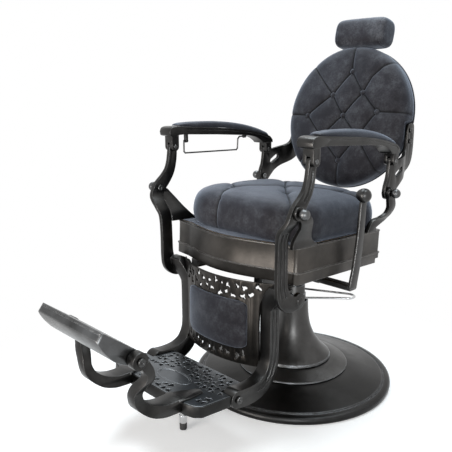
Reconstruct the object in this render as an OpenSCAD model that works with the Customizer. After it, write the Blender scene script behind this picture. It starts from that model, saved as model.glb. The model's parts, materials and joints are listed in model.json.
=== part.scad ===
// Hydraulic barber chair: pierced castings, tufted upholstery and a linked recline.
// X is across the chair, the front faces -Y, Z is up and the origin is on the floor
// at the centre of the base.

/* [Base and column] */
// Diameter of the floor disc
base_d = 660; // [600:10:720]
// Height of the floor disc's outer rim
rim_h = 22; // [16:1:30]
// Wall of the base casting
base_wall = 8; // [6:1:12]
// Diameter of the step between the disc and the bell
step_d = 372; // [340:2:400]
// Diameter of the bell's flange
flange_d = 258; // [230:2:280]
// Diameter of the bell's neck
neck_d = 97; // [92:1:110]
// Height of the bell's neck above the floor
neck_z = 275; // [262:1:280]
// Diameter of the pump body
pump_d = 74; // [66:1:80]
// Height of the pump body's top above the floor
pump_top = 330; // [322:1:340]
// Diameter of the lifting ram
ram_d = 44; // [36:1:50]
// Stroke of the lifting ram
lift_stroke = 150; // [100:10:160]
// Diameter of the wire of the pump lever
lever_wire_d = 7; // [5:0.5:9]
// Reach of the pump lever from the column's axis
lever_reach = 205; // [180:5:230]

/* [Seat frame] */
// Width of the seat frame
frame_w = 490; // [480:2:500]
// Depth of the seat frame from its front corners to its rear
frame_depth = 415; // [400:5:430]
// Forward bow of the frame's front
frame_bow = 44; // [30:1:50]
// Height of the frame's band
band_h = 103; // [95:1:110]
// Height of the lower, thicker part of the band
skirt_h = 30; // [20:1:40]
// Wall of the band
band_wall = 9; // [7:0.5:12]
// Backward rake of the seat in degrees
rake = 2.5; // [0:0.5:5]

/* [Seat cushion] */
// Inset of the seat cushion from each side of the frame
cushion_inset = 7; // [4:1:15]
// Depth of the seat cushion
cushion_d = 446; // [430:2:454]
// Radius of the seat cushion's front corners in plan
cushion_r = 122; // [100:2:140]
// Height of the seat cushion at its rim
cushion_h = 98; // [84:1:104]
// Crown of the cushion above its rim
cushion_crown = 28; // [16:1:32]

/* [Linkage] */
// Diameter of the pivot pins
pin_d = 12; // [10:0.5:14]
// Radial clearance of a pin in its bore
pin_clear = 0.08; // [0.05:0.01:0.1]
// Radial play at the armrest's rear pin
rear_pin_play = 2; // [1.6:0.1:2.5]
// Gap between the faces of neighbouring links
link_gap = 0.4; // [0.3:0.1:0.8]
// Thickness of the front post
post_t = 12; // [10:0.5:14]
// Thickness of the back bracket
bracket_t = 11; // [9:0.5:13]
// Thickness of an ear of a clevis
ear_t = 11; // [8:0.5:12]
// Diameter of a ball nut
ball_d = 29; // [22:1:32]
// Depth of the flutes in the castings
flute = 2.5; // [1.5:0.5:3]

/* [Armrests] */
// Width of an armrest frame
arm_w = 50; // [46:1:54]
// Thickness of the armrest pad
arm_pad_h = 20; // [14:1:24]

/* [Legrest] */
// Width of the legrest over its rails
legrest_w = 376; // [366:2:380]
// Width of a rail's front face
rail_w = 38; // [32:1:40]
// Depth of a rail from front to back
rail_depth = 37; // [32:1:40]
// Forward bow of the legrest panel
panel_bow = 35; // [25:1:40]
// Thickness of the legrest panel
panel_t = 6; // [5:0.5:8]
// Width of the legrest pad
pad_w = 236; // [220:2:250]
// Height of the legrest pad
pad_h = 143; // [130:1:150]

/* [Footplate] */
// Depth of the footplate's rim
plate_rim = 29; // [24:1:32]
// Width of the footplate's rim wall
plate_wall = 9; // [7:0.5:11]
// Thickness of the footplate's pierced top
plate_top = 7; // [5:0.5:9]
// Length of a pierced leaf
leaf_l = 24; // [18:1:26]
// Width of a pierced leaf
leaf_w = 8.5; // [6:0.5:9]
// Width of the flap across the chair
flap_w = 272; // [260:2:276]
// Length of the flap
flap_l = 145; // [135:1:155]
// Thickness of the flap at its tip
flap_t = 24; // [18:1:28]
// Thickness of a gooseneck arm
goose_t = 24; // [20:1:26]

/* [Backrest] */
// Inset of the round backrest from each side of the seat frame
back_inset = 10; // [7:1:17]
// Height of the round backrest
back_h = 480; // [466:2:488]
// Thickness of the back cushion at its edge
back_t = 56; // [46:1:64]
// Lean of the backrest in degrees
lean = 12.8; // [8:0.2:16]
// Width of the headrest cushion
head_w = 196; // [180:2:230]
// Height of the headrest cushion
head_h = 96; // [88:1:98]
// Thickness of the headrest cushion
head_t = 88; // [76:1:92]

/* [Hidden] */
$fn = 48;

iron = [0.25, 0.25, 0.26];
bronze = [0.36, 0.34, 0.31];
steel = [0.75, 0.76, 0.78];
hide = [0.17, 0.18, 0.21];
rubber = [0.08, 0.08, 0.09];
wood = [0.55, 0.42, 0.28];

press_clear = 0.02;                     // radial clearance of a pin that stays put
seat_gap = 0.3;                         // gap under a part that is laid on another
frame_front = -300;                     // y of the seat frame's front corners
frame_rear = frame_front + frame_depth;
band_z = 452;                           // underside of the band
band_top = band_z + band_h;
corner_r = 14;
half_w = frame_w / 2;
cushion_w = frame_w - 2 * cushion_inset;
back_w = frame_w - 2 * back_inset;

pivot_a = [120, 655];                   // back bracket on the rear standard, [y, z]
pivot_b = [132, 752];                   // back bracket in the armrest's rear clevis
pivot_c = [-289, 787];                  // front post in the armrest's front clevis
pivot_d = [-347, 662];                  // front post on the front bracket
pin_r = pin_d / 2;
eye_r = pin_r + 10;

bracket_x = half_w + 5;                 // inner face of the back bracket
post_x = half_w + 24;                   // inner face of the front post at its pivots
rear_ear_x = bracket_x + bracket_t / 2; // middle of the rear clevis
front_ear_x = post_x + post_t / 2;      // middle of the front clevis
standard_x = bracket_x + bracket_t + link_gap;
standard_t = 12;
fork_x = post_x + post_t + link_gap;    // inner face of the front bracket at its pivot
fork_t = 9;

// ---------- curves ----------

// Points of a Catmull-Rom curve through rows of numbers, n steps to a span
function spline(p, n = 5) =
  let (last = len(p) - 1)
  concat([for (i = [0 : last - 1], k = [0 : n - 1])
    let (a = p[max(i - 1, 0)], b = p[i], c = p[i + 1], d = p[min(i + 2, last)], t = k / n)
    0.5 * (2 * b + (c - a) * t + (2 * a - 5 * b + 4 * c - d) * t * t
      + (3 * b - a - 3 * c + d) * t * t * t)], [p[last]]);

function unit2(v) = v / norm([v[0], v[1]]);

// Outline of a strip that follows [u, v, width] rows
function strip(rows, n = 5) =
  let (c = spline(rows, n), last = len(c) - 1,
    side = [for (i = [0 : last])
      let (t = unit2([c[min(i + 1, last)][0] - c[max(i - 1, 0)][0],
        c[min(i + 1, last)][1] - c[max(i - 1, 0)][1]]))
      [-t[1], t[0]]])
  concat([for (i = [0 : last]) [c[i][0], c[i][1]] + side[i] * c[i][2] / 2],
    [for (i = [last : -1 : 0]) [c[i][0], c[i][1]] - side[i] * c[i][2] / 2]);

// Corners of a rectangle, rounded by radius r
function soft_rect(w, h, r, n = 6) =
  [for (q = [0 : 3], k = [0 : n])
    let (a = q * 90 + k * 90 / n, sx = (q == 0 || q == 3) ? 1 : -1, sy = q < 2 ? 1 : -1)
    [sx * (w / 2 - r) + r * cos(a), sy * (h / 2 - r) + r * sin(a)]];

module along_x(x0, x1) {
  translate([x0, 0, 0]) rotate([90, 0, 90]) linear_extrude(x1 - x0) children();
}

module along_y(y0, y1) {
  translate([0, y1, 0]) rotate([90, 0, 0]) linear_extrude(y1 - y0) children();
}

module pin(x0, x1, at, r) {
  translate([x0, at[0], at[1]]) rotate([0, 90, 0]) cylinder(r = r, h = x1 - x0);
}

module on_side(s) {
  if (s > 0) children();
  else mirror([1, 0, 0]) children();
}

// The seat parts lean back about the frame's lower front edge
module raked() {
  translate([0, frame_front, band_z]) rotate([-rake, 0, 0])
    translate([0, -frame_front, -band_z]) children();
}

// Solid through rings of points, closed by a fan at each end
module skin(rings) {
  m = len(rings);
  n = len(rings[0]);
  mid = function (ring) [for (k = [0 : 2]) [for (p = ring) p[k]] * [for (p = ring) 1] / n];
  points = concat([for (ring = rings, p = ring) p], [mid(rings[0]), mid(rings[m - 1])]);
  walls = [for (i = [0 : m - 2], j = [0 : n - 1])
    let (a = i * n + j, b = i * n + (j + 1) % n)
    each [[a, a + n, b], [b, a + n, b + n]]];
  caps = [for (j = [0 : n - 1])
    each [[m * n, j, (j + 1) % n], [m * n + 1, (m - 1) * n + (j + 1) % n, (m - 1) * n + j]]];
  polyhedron(points, concat(walls, caps), convexity = 6);
}

// ---------- base ----------

// Gentle rise of the disc from its rim groove to the step ring
function disc_rise(r, s, z) =
  [for (k = [1 : 6]) [r - (r - s) * k / 6, z + 28 * pow(k / 6, 1.15)]];

module base_disc() {
  r = base_d / 2;
  s = step_d / 2;
  color(iron) difference() {
    rotate_extrude($fn = 96) polygon(concat(
      [[0, 0], [r - 5, 0], [r - 1, 3], [r, 8], [r, rim_h - 8], [r - 2, rim_h - 3],
        [r - 7, rim_h], [r - 20, rim_h + 2], [r - 22, rim_h - 1], [r - 25, rim_h - 1],
        [r - 27, rim_h + 4], [r - 31, rim_h + 5]],
      disc_rise(r - 31, s, rim_h + 5), [[0, rim_h + 33]]));
    // hollow under the disc, between its rim and its middle boss
    translate([0, 0, -1]) rotate_extrude($fn = 96) polygon(concat(
      [[pump_d / 2 + 34, 0], [r - 31, 0], [r - 33, rim_h - 9]],
      disc_rise(r - 35, s - 4, rim_h + 5 - base_wall + 1), [[pump_d / 2 + 40, rim_h + 34 - base_wall]]));
    translate([0, 0, 5]) cylinder(r = pump_d / 2 + 8 + seat_gap, h = rim_h + 40);
  }
}

module base_step() {
  s = step_d / 2;
  f = flange_d / 2;
  z = rim_h + 33;
  color(iron) difference() {
    rotate_extrude($fn = 96) polygon([[pump_d / 2 + 8 + seat_gap, z], [s - 3, z], [s, z + 2],
      [s, z + 4], [s - 2, z + 6], [s - 6, z + 7], [f + 20, z + 21], [f - 4, z + 25],
      [pump_d / 2 + 8 + seat_gap, z + 25]]);
    translate([0, 0, z - 1]) cylinder(r = f - 16, h = 16, $fn = 96);
  }
}

// Radius of the bell at a share t of its height
function bell_r(t) = neck_d / 2 + (flange_d / 2 - 9 - neck_d / 2) * pow(1 - t, 3.1)
  + 7 * (1 - t);

module bell_cover() {
  z0 = rim_h + 58;
  f = flange_d / 2;
  rise = neck_z - z0 - 9;
  steps = 14;
  outer = [for (k = [0 : steps]) [bell_r(k / steps), z0 + 9 + rise * k / steps]];
  wall = 4;
  color(iron) rotate_extrude($fn = 96) polygon(concat(
    [[f - 22, z0], [f - 2, z0], [f, z0 + 3], [f, z0 + 5], [f - 3, z0 + 8]], outer,
    [for (k = [steps : -1 : 0]) [bell_r(k / steps) - wall, z0 + 9 + rise * k / steps]],
    [[f - 22, z0 + 8]]));
}

ram_grip = 120;                         // length of the ram left in the raised pump
lever_z = 296;                          // axis of the pump lever
lever_turn = 22;                        // turn of its reach from the +X axis

module pump_body() {
  r = pump_d / 2;
  color(iron) difference() {
    union() {
      translate([0, 0, 5]) cylinder(r = r + 8, h = 20);
      translate([0, 0, 5]) cylinder(r = r, h = pump_top - 5);
      translate([0, 0, pump_top - 46]) cylinder(r = r + 3, h = 14);
      // bosses for the lever's shaft, which runs at right angles to its reach
      rotate([0, 0, lever_turn]) translate([0, -r - 9, lever_z]) rotate([-90, 0, 0])
        cylinder(r = 11, h = 2 * r + 18);
    }
    translate([0, 0, 40]) cylinder(r = ram_d / 2 + pin_clear, h = pump_top);
    rotate([0, 0, lever_turn]) for (s = [-1, 1]) translate([0, s * (r + 10), lever_z])
      rotate([s * 90, 0, 0]) translate([0, 0, -1]) cylinder(r = 5 + pin_clear, h = 16);
  }
}

// Bent wire loop that straddles the pump body
module pump_lever() {
  w = lever_wire_d / 2;
  hub = pump_d / 2 + 9 + link_gap;
  tip_w = 22;
  tip_z = 14;
  eye = hub + 6;                        // the wire runs clear of the boss's face
  arm_a = atan2(eye - tip_w, lever_reach - 24);
  color(steel) rotate([0, 0, lever_turn]) translate([0, 0, lever_z]) {
    for (s = [-1, 1]) {
      translate([0, s * (hub + 5), 0]) rotate([s * 90, 0, 0]) {
        translate([0, 0, -5]) cylinder(r = 8, h = 10);
        translate([0, 0, -4]) cylinder(r = 5, h = 21);
      }
      translate([0, s * eye, 0]) rotate([0, 90 - atan2(tip_z, lever_reach - 24), -s * arm_a])
        cylinder(r = w, h = norm([lever_reach - 24, eye - tip_w, tip_z]));
    }
    translate([lever_reach - 24, 0, tip_z]) difference() {
      rotate_extrude() translate([tip_w, 0]) circle(r = w, $fn = 24);
      translate([-50, -50, -20]) cube([50, 100, 40]);
    }
  }
}

module lift_ram() {
  // the ram still reaches ram_grip into the pump at the top of its stroke
  foot = pump_top - lift_stroke - ram_grip;
  color(steel) {
    translate([0, 0, foot]) cylinder(r = ram_d / 2, h = pump_top + 46 - foot);
    translate([0, 0, pump_top + 46]) cylinder(r1 = ram_d / 2, r2 = ram_d / 2 - 2, h = 2);
  }
}

// ---------- seat carrier ----------

rail_z = band_z - 22;                   // underside of the seat rails

module swivel_hub() {
  z0 = pump_top + 6;
  color(iron) difference() {
    union() {
      translate([0, 0, z0]) cylinder(r = ram_d / 2 + 14, h = 54);
      translate([0, 0, z0 + 54]) cylinder(r = 60, h = 12);
      translate([0, 0, z0 + 30]) cylinder(r1 = ram_d / 2 + 14, r2 = 56, h = 24);
    }
    translate([0, 0, z0 - 1]) cylinder(r = ram_d / 2 + pin_clear, h = 43 + seat_gap);
  }
}

rail_x = 116;
rail_face = 32;
lever_pivot = [-78, 402];
boss_r = 15;                            // boss round the recline lever's shaft
boss_x = rail_x + rail_face + 12;       // outer face of that boss
spider_w = 116;                         // depth of the plate that joins the rails

module seat_rails() {
  z0 = pump_top + 72;
  color(iron) difference() {
    union() {
      // spider arms over the hub, in the seat's rake
      translate([-rail_x - rail_face, -spider_w / 2, z0])
        cube([2 * (rail_x + rail_face), spider_w, 12]);
      raked() for (s = [-1, 1])
        translate([s > 0 ? rail_x : -rail_x - rail_face, frame_front - 24, rail_z])
          cube([rail_face, frame_depth + 18, 22 - seat_gap]);
      for (s = [-1, 1])
        translate([s > 0 ? rail_x : -rail_x - rail_face, -spider_w / 2, z0])
          cube([rail_face, spider_w, rail_z - z0 - 6]);
      // boss of the recline lever
      along_x(rail_x + 0.5, boss_x) polygon(concat(
        [for (a = [180 : 15 : 360]) lever_pivot + boss_r * [cos(a), sin(a)]],
        [lever_pivot + [boss_r, boss_r + 20], lever_pivot + [-boss_r, boss_r + 20]]));
    }
    pin(rail_x - 1, boss_x + 1, lever_pivot, 8 + pin_clear);
  }
}

// Plan of the band, moved out by d
function bow_y(x) = frame_front - 6
  - frame_bow * (abs(x) < 190 ? pow(0.5 + 0.5 * cos(180 * x / 190), 0.6) : 0);
function band_plan(d) =
  let (w = half_w + d, f = frame_front - d, b = frame_rear + d, r = max(corner_r + d, 2))
  concat(
    [for (x = [-196 : 14 : 196]) [x, bow_y(x) - d]],
    [for (k = [0 : 4]) let (a = -90 + k * 22.5) [w - r + r * cos(a), f + r + r * sin(a)]],
    [for (k = [0 : 4]) let (a = k * 22.5) [w - r + r * cos(a), b - r + r * sin(a)]],
    [for (k = [0 : 4]) let (a = 90 + k * 22.5) [-w + r + r * cos(a), b - r + r * sin(a)]],
    [for (k = [0 : 4]) let (a = 180 + k * 22.5) [-w + r + r * cos(a), f + r + r * sin(a)]]);

module band_ring(z, h, d_out, d_in) {
  translate([0, 0, z]) linear_extrude(h) difference() {
    polygon(band_plan(d_out));
    polygon(band_plan(d_in));
  }
}

board_t = 14;
ledge_t = 12;                           // ledge under the board

module seat_frame() {
  color(bronze) raked() difference() {
    band_rings();
    // the lower edge steps up at the rear
    translate([-frame_w, frame_rear - 26, band_z - 1]) cube([2 * frame_w, 60, skirt_h * 0.5]);
  }
}

module band_rings() {
  band_ring(band_z, skirt_h, 2.5, -band_wall);
  band_ring(band_z + skirt_h, 3, 5, -band_wall);
  band_ring(band_z + skirt_h + 3, band_h - skirt_h - 7, 0, -band_wall);
  band_ring(band_top - 4, 4, 1.5, -band_wall);
  // ledge for the seat board
  band_ring(band_top - board_t - ledge_t - seat_gap, ledge_t, 1 - band_wall, -band_wall - 14);
}

module seat_board() {
  color(wood) raked() translate([0, 0, band_top - board_t])
    linear_extrude(board_t) polygon(band_plan(-band_wall - 1));
}

// ---------- upholstery ----------

// Distance from p to the segment a-b
function seg_dist(p, a, b) =
  let (t = max(0, min(1, ((p - a) * (b - a)) / ((b - a) * (b - a)))))
  norm(p - a - (b - a) * t);

// Depth of the tufting at p, from button places and seams
function tuft(p, buttons, seams, dip) =
  let (near = min([for (b = buttons) norm(p - b)]),
    seam = min([for (s = seams) seg_dist(p, s[0], s[1])]))
  dip * exp(-pow(near / 20, 2)) + dip * 0.45 * exp(-seam / 12);

// Plan of a rounded square at angle a, scaled by k
function round_square(a, w, d, r, k) =
  let (c = cos(a), s = sin(a), ex = w / 2 - r, ey = d / 2 - r,
    // distance from the centre to the rounded outline along the ray
    tx = abs(c) < 0.0001 ? 10000 : (w / 2) / abs(c),
    ty = abs(s) < 0.0001 ? 10000 : (d / 2) / abs(s),
    straight = min(tx, ty),
    px = straight * abs(c), py = straight * abs(s),
    dotp = ex * abs(c) + ey * abs(s),
    disc = dotp * dotp - (ex * ex + ey * ey - r * r),
    t = (px > ex && py > ey && disc >= 0) ? dotp + sqrt(disc) : straight)
  [k * t * c, k * t * s];

seat_cy = frame_front - 8 + cushion_d / 2;    // middle of the seat cushion
seat_buttons = [[5, 10], [-88, -118], [88, -83], [150, 92], [-95, 134]];
seat_seams = concat(
  [for (k = [1 : 4]) [seat_buttons[0], seat_buttons[k]]],
  // pleats from the outer buttons over the rim
  [[seat_buttons[1], [-66, -205]], [[-66, -205], [-64, -320]], [seat_buttons[1], [-400, 125]],
    [seat_buttons[2], [270, -265]], [seat_buttons[3], [400, 145]], [seat_buttons[3], [120, 385]],
    [seat_buttons[4], [-300, 285]], [seat_buttons[4], [-50, 385]]]);

module seat_cushion() {
  n = 56;
  z0 = band_top + seat_gap;
  // share of the plan, height and tuft strength of each ring
  rings = [for (k = [1 : 11]) [k / 12, 1, 1]];
  edge = [[0.95, 0.95, 0.8], [0.978, 0.85, 0.6], [0.995, 0.7, 0.35], [1, 0.5, 0.25],
    [0.995, 0.34, 0.2], [0.98, 0.18, 0.15], [0.955, 0.08, 0.1], [0.93, 0, 0]];
  color(hide) raked() translate([0, seat_cy, z0]) skin([for (ring = concat(rings, edge))
    [for (j = [0 : n - 1])
      let (a = j * 360 / n,
        // the rear corners are tighter than the front ones
        p = round_square(a, cushion_w, cushion_d, cushion_r - (sin(a) > 0 ? 22 : 0), ring[0]),
        crown = cushion_crown * (1 - pow(ring[0], 4)),
        dip = ring[2] * tuft(p, seat_buttons, seat_seams, 13))
      ring[1] == 1 ? [p[0], p[1], cushion_h + crown - dip]
        : [p[0] * (1 - dip / 300), p[1] * (1 - dip / 300), cushion_h * ring[1]]]]);
}

back_c = [0, 240, 874];                 // middle of the back cushion's face

module on_back() {
  translate(back_c) rotate([-lean, 0, 0]) children();
}

back_buttons = [[16, 148], [-43, 68], [73, 77], [-140, -4], [13, -1], [136, 16], [-62, -78],
  [82, -70], [17, -153]];
// buttons that a seam joins
back_pairs = [[0, 1], [0, 2], [1, 3], [1, 4], [2, 4], [2, 5], [3, 6], [4, 6], [4, 7], [5, 7],
  [6, 8], [7, 8]];
back_seams = concat([for (k = back_pairs) [back_buttons[k[0]], back_buttons[k[1]]]],
  // pleats from the outer buttons over the rim
  [[back_buttons[0], [0, 260]], [back_buttons[1], [-170, 186]], [back_buttons[2], [96, 130]],
    [[96, 130], [126, 164]], [[126, 164], [176, 192]], [back_buttons[3], [-270, 0]],
    [back_buttons[5], [270, 18]], [back_buttons[6], [-170, -190]],
    [back_buttons[7], [170, -190]], [back_buttons[8], [18, -270]]]);

leg_gap = 0.7;                          // gap beside the legs of the back brackets

// The cushion and the shell are let in round the legs of the back brackets
module leg_pockets() {
  for (s = [1, -1]) on_side(s) along_x(leg_x - leg_gap, back_w)
    translate([249, 740]) square([53, 122]);
}

// The face looks along local -Y
module back_cushion() {
  n = 56;
  rings = [for (k = [1 : 11]) [k / 12, 0]];
  edge = [[0.955, 4], [0.985, 10], [1, 20], [1, 42], [0.997, back_t - 4], [0.985, back_t + 2]];
  color(hide) difference() {
    on_back() skin([for (ring = concat(rings, edge))
      [for (j = [0 : n - 1])
        let (a = -j * 360 / n,
          p = [ring[0] * back_w / 2 * cos(a), ring[0] * back_h / 2 * sin(a)],
          dome = 22 * (1 - pow(ring[0], 2)) - 8 * pow(p[0] / 140, 2) * (1 - ring[0]),
          dip = tuft(p, back_buttons, back_seams, 20))
        ring[1] == 0 ? [p[0], dip - dome - 4, p[1]]
          : [p[0] * (1 - dip / 700), ring[1] - 2 + dip * 0.15 * (1 - ring[1] / back_t), p[1]
            * (1 - dip / 700)]]]);
    // pockets for the bracket screws
    for (s = [1, -1], at = back_bolt_at) on_side(s)
      pin(back_bolt_x - seat_gap, back_w, at, 4 + seat_gap);
    leg_pockets();
  }
}

// Plan of the shell, scaled by k
module shell_plan(k) {
  polygon([for (a = [0 : 5 : 355]) [k * back_w / 2 * cos(a), k * back_h / 2 * sin(a)]]);
}

module back_shell() {
  color(hide) difference() {
    on_back() {
      translate([0, back_t + 14, 0]) rotate([90, 0, 0]) linear_extrude(14 - 1 + 0.7) shell_plan(0.985);
      // raised ring on the shell's rear face
      translate([0, back_t + 17, 0]) rotate([90, 0, 0]) linear_extrude(3.5) difference() {
        shell_plan(0.86);
        shell_plan(0.8);
      }
    }
    leg_pockets();
  }
}

head_c = [0, 44, 290];                  // middle of the headrest in the backrest's frame
stem_y = back_t + 17 + 9;
stem_w = 34;
stem_t = 8;

module head_socket() {
  color(iron) on_back() difference() {
    translate([-32, back_t + 14 + seat_gap, 60]) cube([64, 22, 120]);
    translate([-stem_w / 2 - 0.2, stem_y - stem_t / 2 - 0.2, 59])
      cube([stem_w + 0.4, stem_t + 0.4, 122]);
  }
}

module head_stem() {
  color(steel) on_back() {
    translate([-stem_w / 2, stem_y - stem_t / 2, 64])
      cube([stem_w, stem_t, head_c[2] - 64 + 12]);
    translate([-45, head_c[1] + head_t / 2 - 14, head_c[2] - 12])
      cube([90, stem_y - head_c[1] - head_t / 2 + 14 - stem_t / 2 + 1, 24]);
  }
}

module head_cushion() {
  n = 40;
  m = 16;
  // rounded block with swollen faces, cut behind for its stem's plate
  color(hide) on_back() translate(head_c) difference() {
    skin([for (i = [0 : m])
      let (t = -1 + 2 * i / m, e = pow(1 - pow(abs(t), 5), 0.2), x = head_w / 2 * t)
      [for (j = [0 : n - 1])
        let (a = j * 360 / n, c = cos(a), s = sin(a),
          q = pow(pow(abs(c), 3.2) + pow(abs(s), 3.2), -1 / 3.2) * max(e, 0.02))
        [x, head_t / 2 * q * s, head_h / 2 * q * c * (1 + 0.02 * (1 - t * t))]]]);
    translate([-45.3, head_t / 2 - 14.3, -12.3]) cube([90.6, 30, 24.6]);
    translate([-stem_w / 2 - seat_gap, stem_y - stem_t / 2 - seat_gap - head_c[1], -head_h])
      cube([stem_w + 2 * seat_gap, 30, head_h + 12 + seat_gap]);
  }
}

// ---------- linkage ----------

standard_side = [[120, 662, 30], [125, 632, 34], [130, 606, 34], [121, 583, 28],
  [94, 570, 24], [66, 562, 34], [56, 535, 46]];
standard_front = [[standard_x + 6, 690, 12], [standard_x + 6, 640, 12], [standard_x + 5, 612, 12],
  [half_w + 12, 588, 12], [half_w + 2, 570, 13], [half_w - 2, 530, 14]];

module under_band_top() {
  raked() translate([-400, -500, band_top + seat_gap - 200]) cube([800, 800, 200]);
}

module rear_standard() {
  difference() {
    union() {
      intersection() {
        along_x(half_w - 20, standard_x + 30) polygon(strip(standard_side));
        along_y(0, 220) polygon(strip(standard_front));
      }
      pin(standard_x, standard_x + standard_t, pivot_a, eye_r + 1);
    }
    pin(standard_x - 1, standard_x + standard_t + 1, pivot_a, pin_r + pin_clear);
    under_band_top();
  }
}

fork_front = [[fork_x + fork_t / 2, 700, fork_t], [fork_x + fork_t / 2, 660, fork_t],
  [fork_x + fork_t / 2 - 1, 640, fork_t], [half_w + 28, 618, 9], [half_w + 12, 592, 10],
  [half_w + 2, 572, 12], [half_w - 2, 540, 14]];

module front_bracket() {
  y = pivot_d[0];
  z = pivot_d[1];
  outline = concat([[y - 9, z - 8], [y + 8, z - 24], [y + 22, z - 44], [y + 24, z - 80],
      [y + 24, z - 124]],
    [[y + 126, z - 124], [y + 126, z - 106]],
    spline([[y + 124, z - 104], [y + 104, z - 92], [y + 82, z - 66], [y + 62, z - 34],
      [y + 42, z - 10], [y + 12, z + 8]], 3));
  difference() {
    union() {
      intersection() {
        along_x(half_w - 20, fork_x + 30) polygon(outline);
        along_y(y - 20, y + 140) polygon(strip(fork_front));
      }
      pin(fork_x, fork_x + fork_t, pivot_d, eye_r + 2);
    }
    pin(fork_x - 1, fork_x + fork_t + 1, pivot_d, pin_r + pin_clear);
    // spot face round the post's eye
    pin(post_x, fork_x - 0.1, pivot_d, eye_r + 10);
    under_band_top();
  }
}

// Pin with a socket head inside and a ball nut outside
module ball_pin(x0, x1, at) {
  pin(x0 - 5, x1 + 4, at, pin_r);
  difference() {
    pin(x0 - 6, x0 - link_gap, at, pin_r + 3);
    translate([x0 - 7, at[0], at[1]]) rotate([0, 90, 0]) cylinder(r = 3.5, h = 4, $fn = 6);
  }
  difference() {
    translate([x1 + link_gap + ball_d / 2 - 2, at[0], at[1]]) sphere(r = ball_d / 2);
    translate([x1 + link_gap - 20, at[0] - 20, at[1] - 20]) cube([20, 40, 40]);
  }
}

module pivot_pins() {
  color(iron) for (s = [1, -1]) on_side(s) {
    ball_pin(bracket_x, standard_x + standard_t, pivot_a);
    ball_pin(post_x, fork_x + fork_t, pivot_d);
  }
}

bar_x = half_w + 32;                    // middle of the recline lever's bar
bar_t = 8;
knob_y = -44;
knob_z = 669;
knob_half = [20.5, 23];                 // half height and half width of the grip

module recline_lever() {
  color(iron) {
    // flat bar beside the seat
    along_x(bar_x - bar_t / 2, bar_x + bar_t / 2) polygon(strip([[knob_y, 650, 26], [-50, 560, 29],
      [-62, 470, 32], [-74, 420, 34], [lever_pivot[0], lever_pivot[1] - 2, 34]]));
    // arm under the seat
    translate([boss_x + link_gap, lever_pivot[0] - 15, lever_pivot[1] - 8])
      cube([bar_x + 3.5 - boss_x - link_gap, 30, 14]);
    pin(rail_x + 4, boss_x + 18, lever_pivot, 8);
  }
}

// Egg-shaped grip, wider across than high
module recline_knob() {
  color(iron) difference() {
    translate([bar_x, knob_y, knob_z]) rotate([0, 90, 0])
      rotate_extrude() polygon(concat([[0, -knob_half[1]]],
        [for (k = [1 : 11]) [(knob_half[0] - 3 * cos(k * 15)) * sin(k * 15),
          -knob_half[1] * cos(k * 15)]], [[0, knob_half[1]]]));
    // socket for the end of the bar
    translate([bar_x - bar_t / 2 - seat_gap, knob_y - 14, 640])
      cube([bar_t + 2 * seat_gap, 28, 11 + seat_gap]);
  }
}

// ---------- legrest ----------

post_side = [[-289, 787, 28], [-291, 762, 31], [-295, 737, 32], [-304, 711, 34],
  [-321, 688, 38], [-341, 668, 42], [-354, 648, 43], [-361, 626, 42], [-360, 606, 40],
  [-355, 586, 39], [-352, 556, 39], [-351, 500, 39], [-350, 456, 41], [-342, 425, 48],
  [-320, 405, 48], [-294, 399, 40], [-274, 402, 34]];
post_front = [[front_ear_x, 806, post_t], [front_ear_x, 740, post_t], [front_ear_x, 690, post_t],
  [front_ear_x, 660, post_t], [front_ear_x - 3, 638, post_t], [half_w + 7, 612, post_t],
  [half_w - 5, 588, post_t], [half_w - 8, 560, post_t], [half_w - 9, 500, post_t],
  [half_w - 9, 370, post_t]];
rail_mid = legrest_w / 2 - rail_w / 2;
plate_pivot = [-458, 157];
rail_side = [[-330, 446, 26], [-322, 425, 34], [-316, 395, rail_depth], [-315, 355, rail_depth],
  [-315, 300, rail_depth], [-315, 240, rail_depth], [-320, 205, 41], [-338, 172, 48],
  [-374, 154, 51], [-416, 151, 51], [plate_pivot[0], plate_pivot[1] - 1, 49]];
rail_out = half_w - 20 - rail_mid;      // how far a rail's top jogs out to its post
rail_front = [[rail_mid, 100, rail_w], [rail_mid, 250, rail_w], [rail_mid, 360, rail_w],
  [rail_mid + 5 / 56 * rail_out, 388, rail_w + 3], [rail_mid + 22 / 56 * rail_out, 412, rail_w + 8],
  [rail_mid + 42 / 56 * rail_out, 432, rail_w + 8], [rail_mid + rail_out, 452, rail_w]];

// A shallow groove along the outer face of a casting
module flute_cut(side, front, w, shift) {
  intersection() {
    along_x(100, 320) polygon(strip([for (r = side) [r[0] + shift, r[1], w]]));
    along_y(-520, 0) polygon(strip([for (r = front)
      [r[0] + r[2] / 2 + 5 - flute, r[1], 10]]));
  }
}

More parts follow.
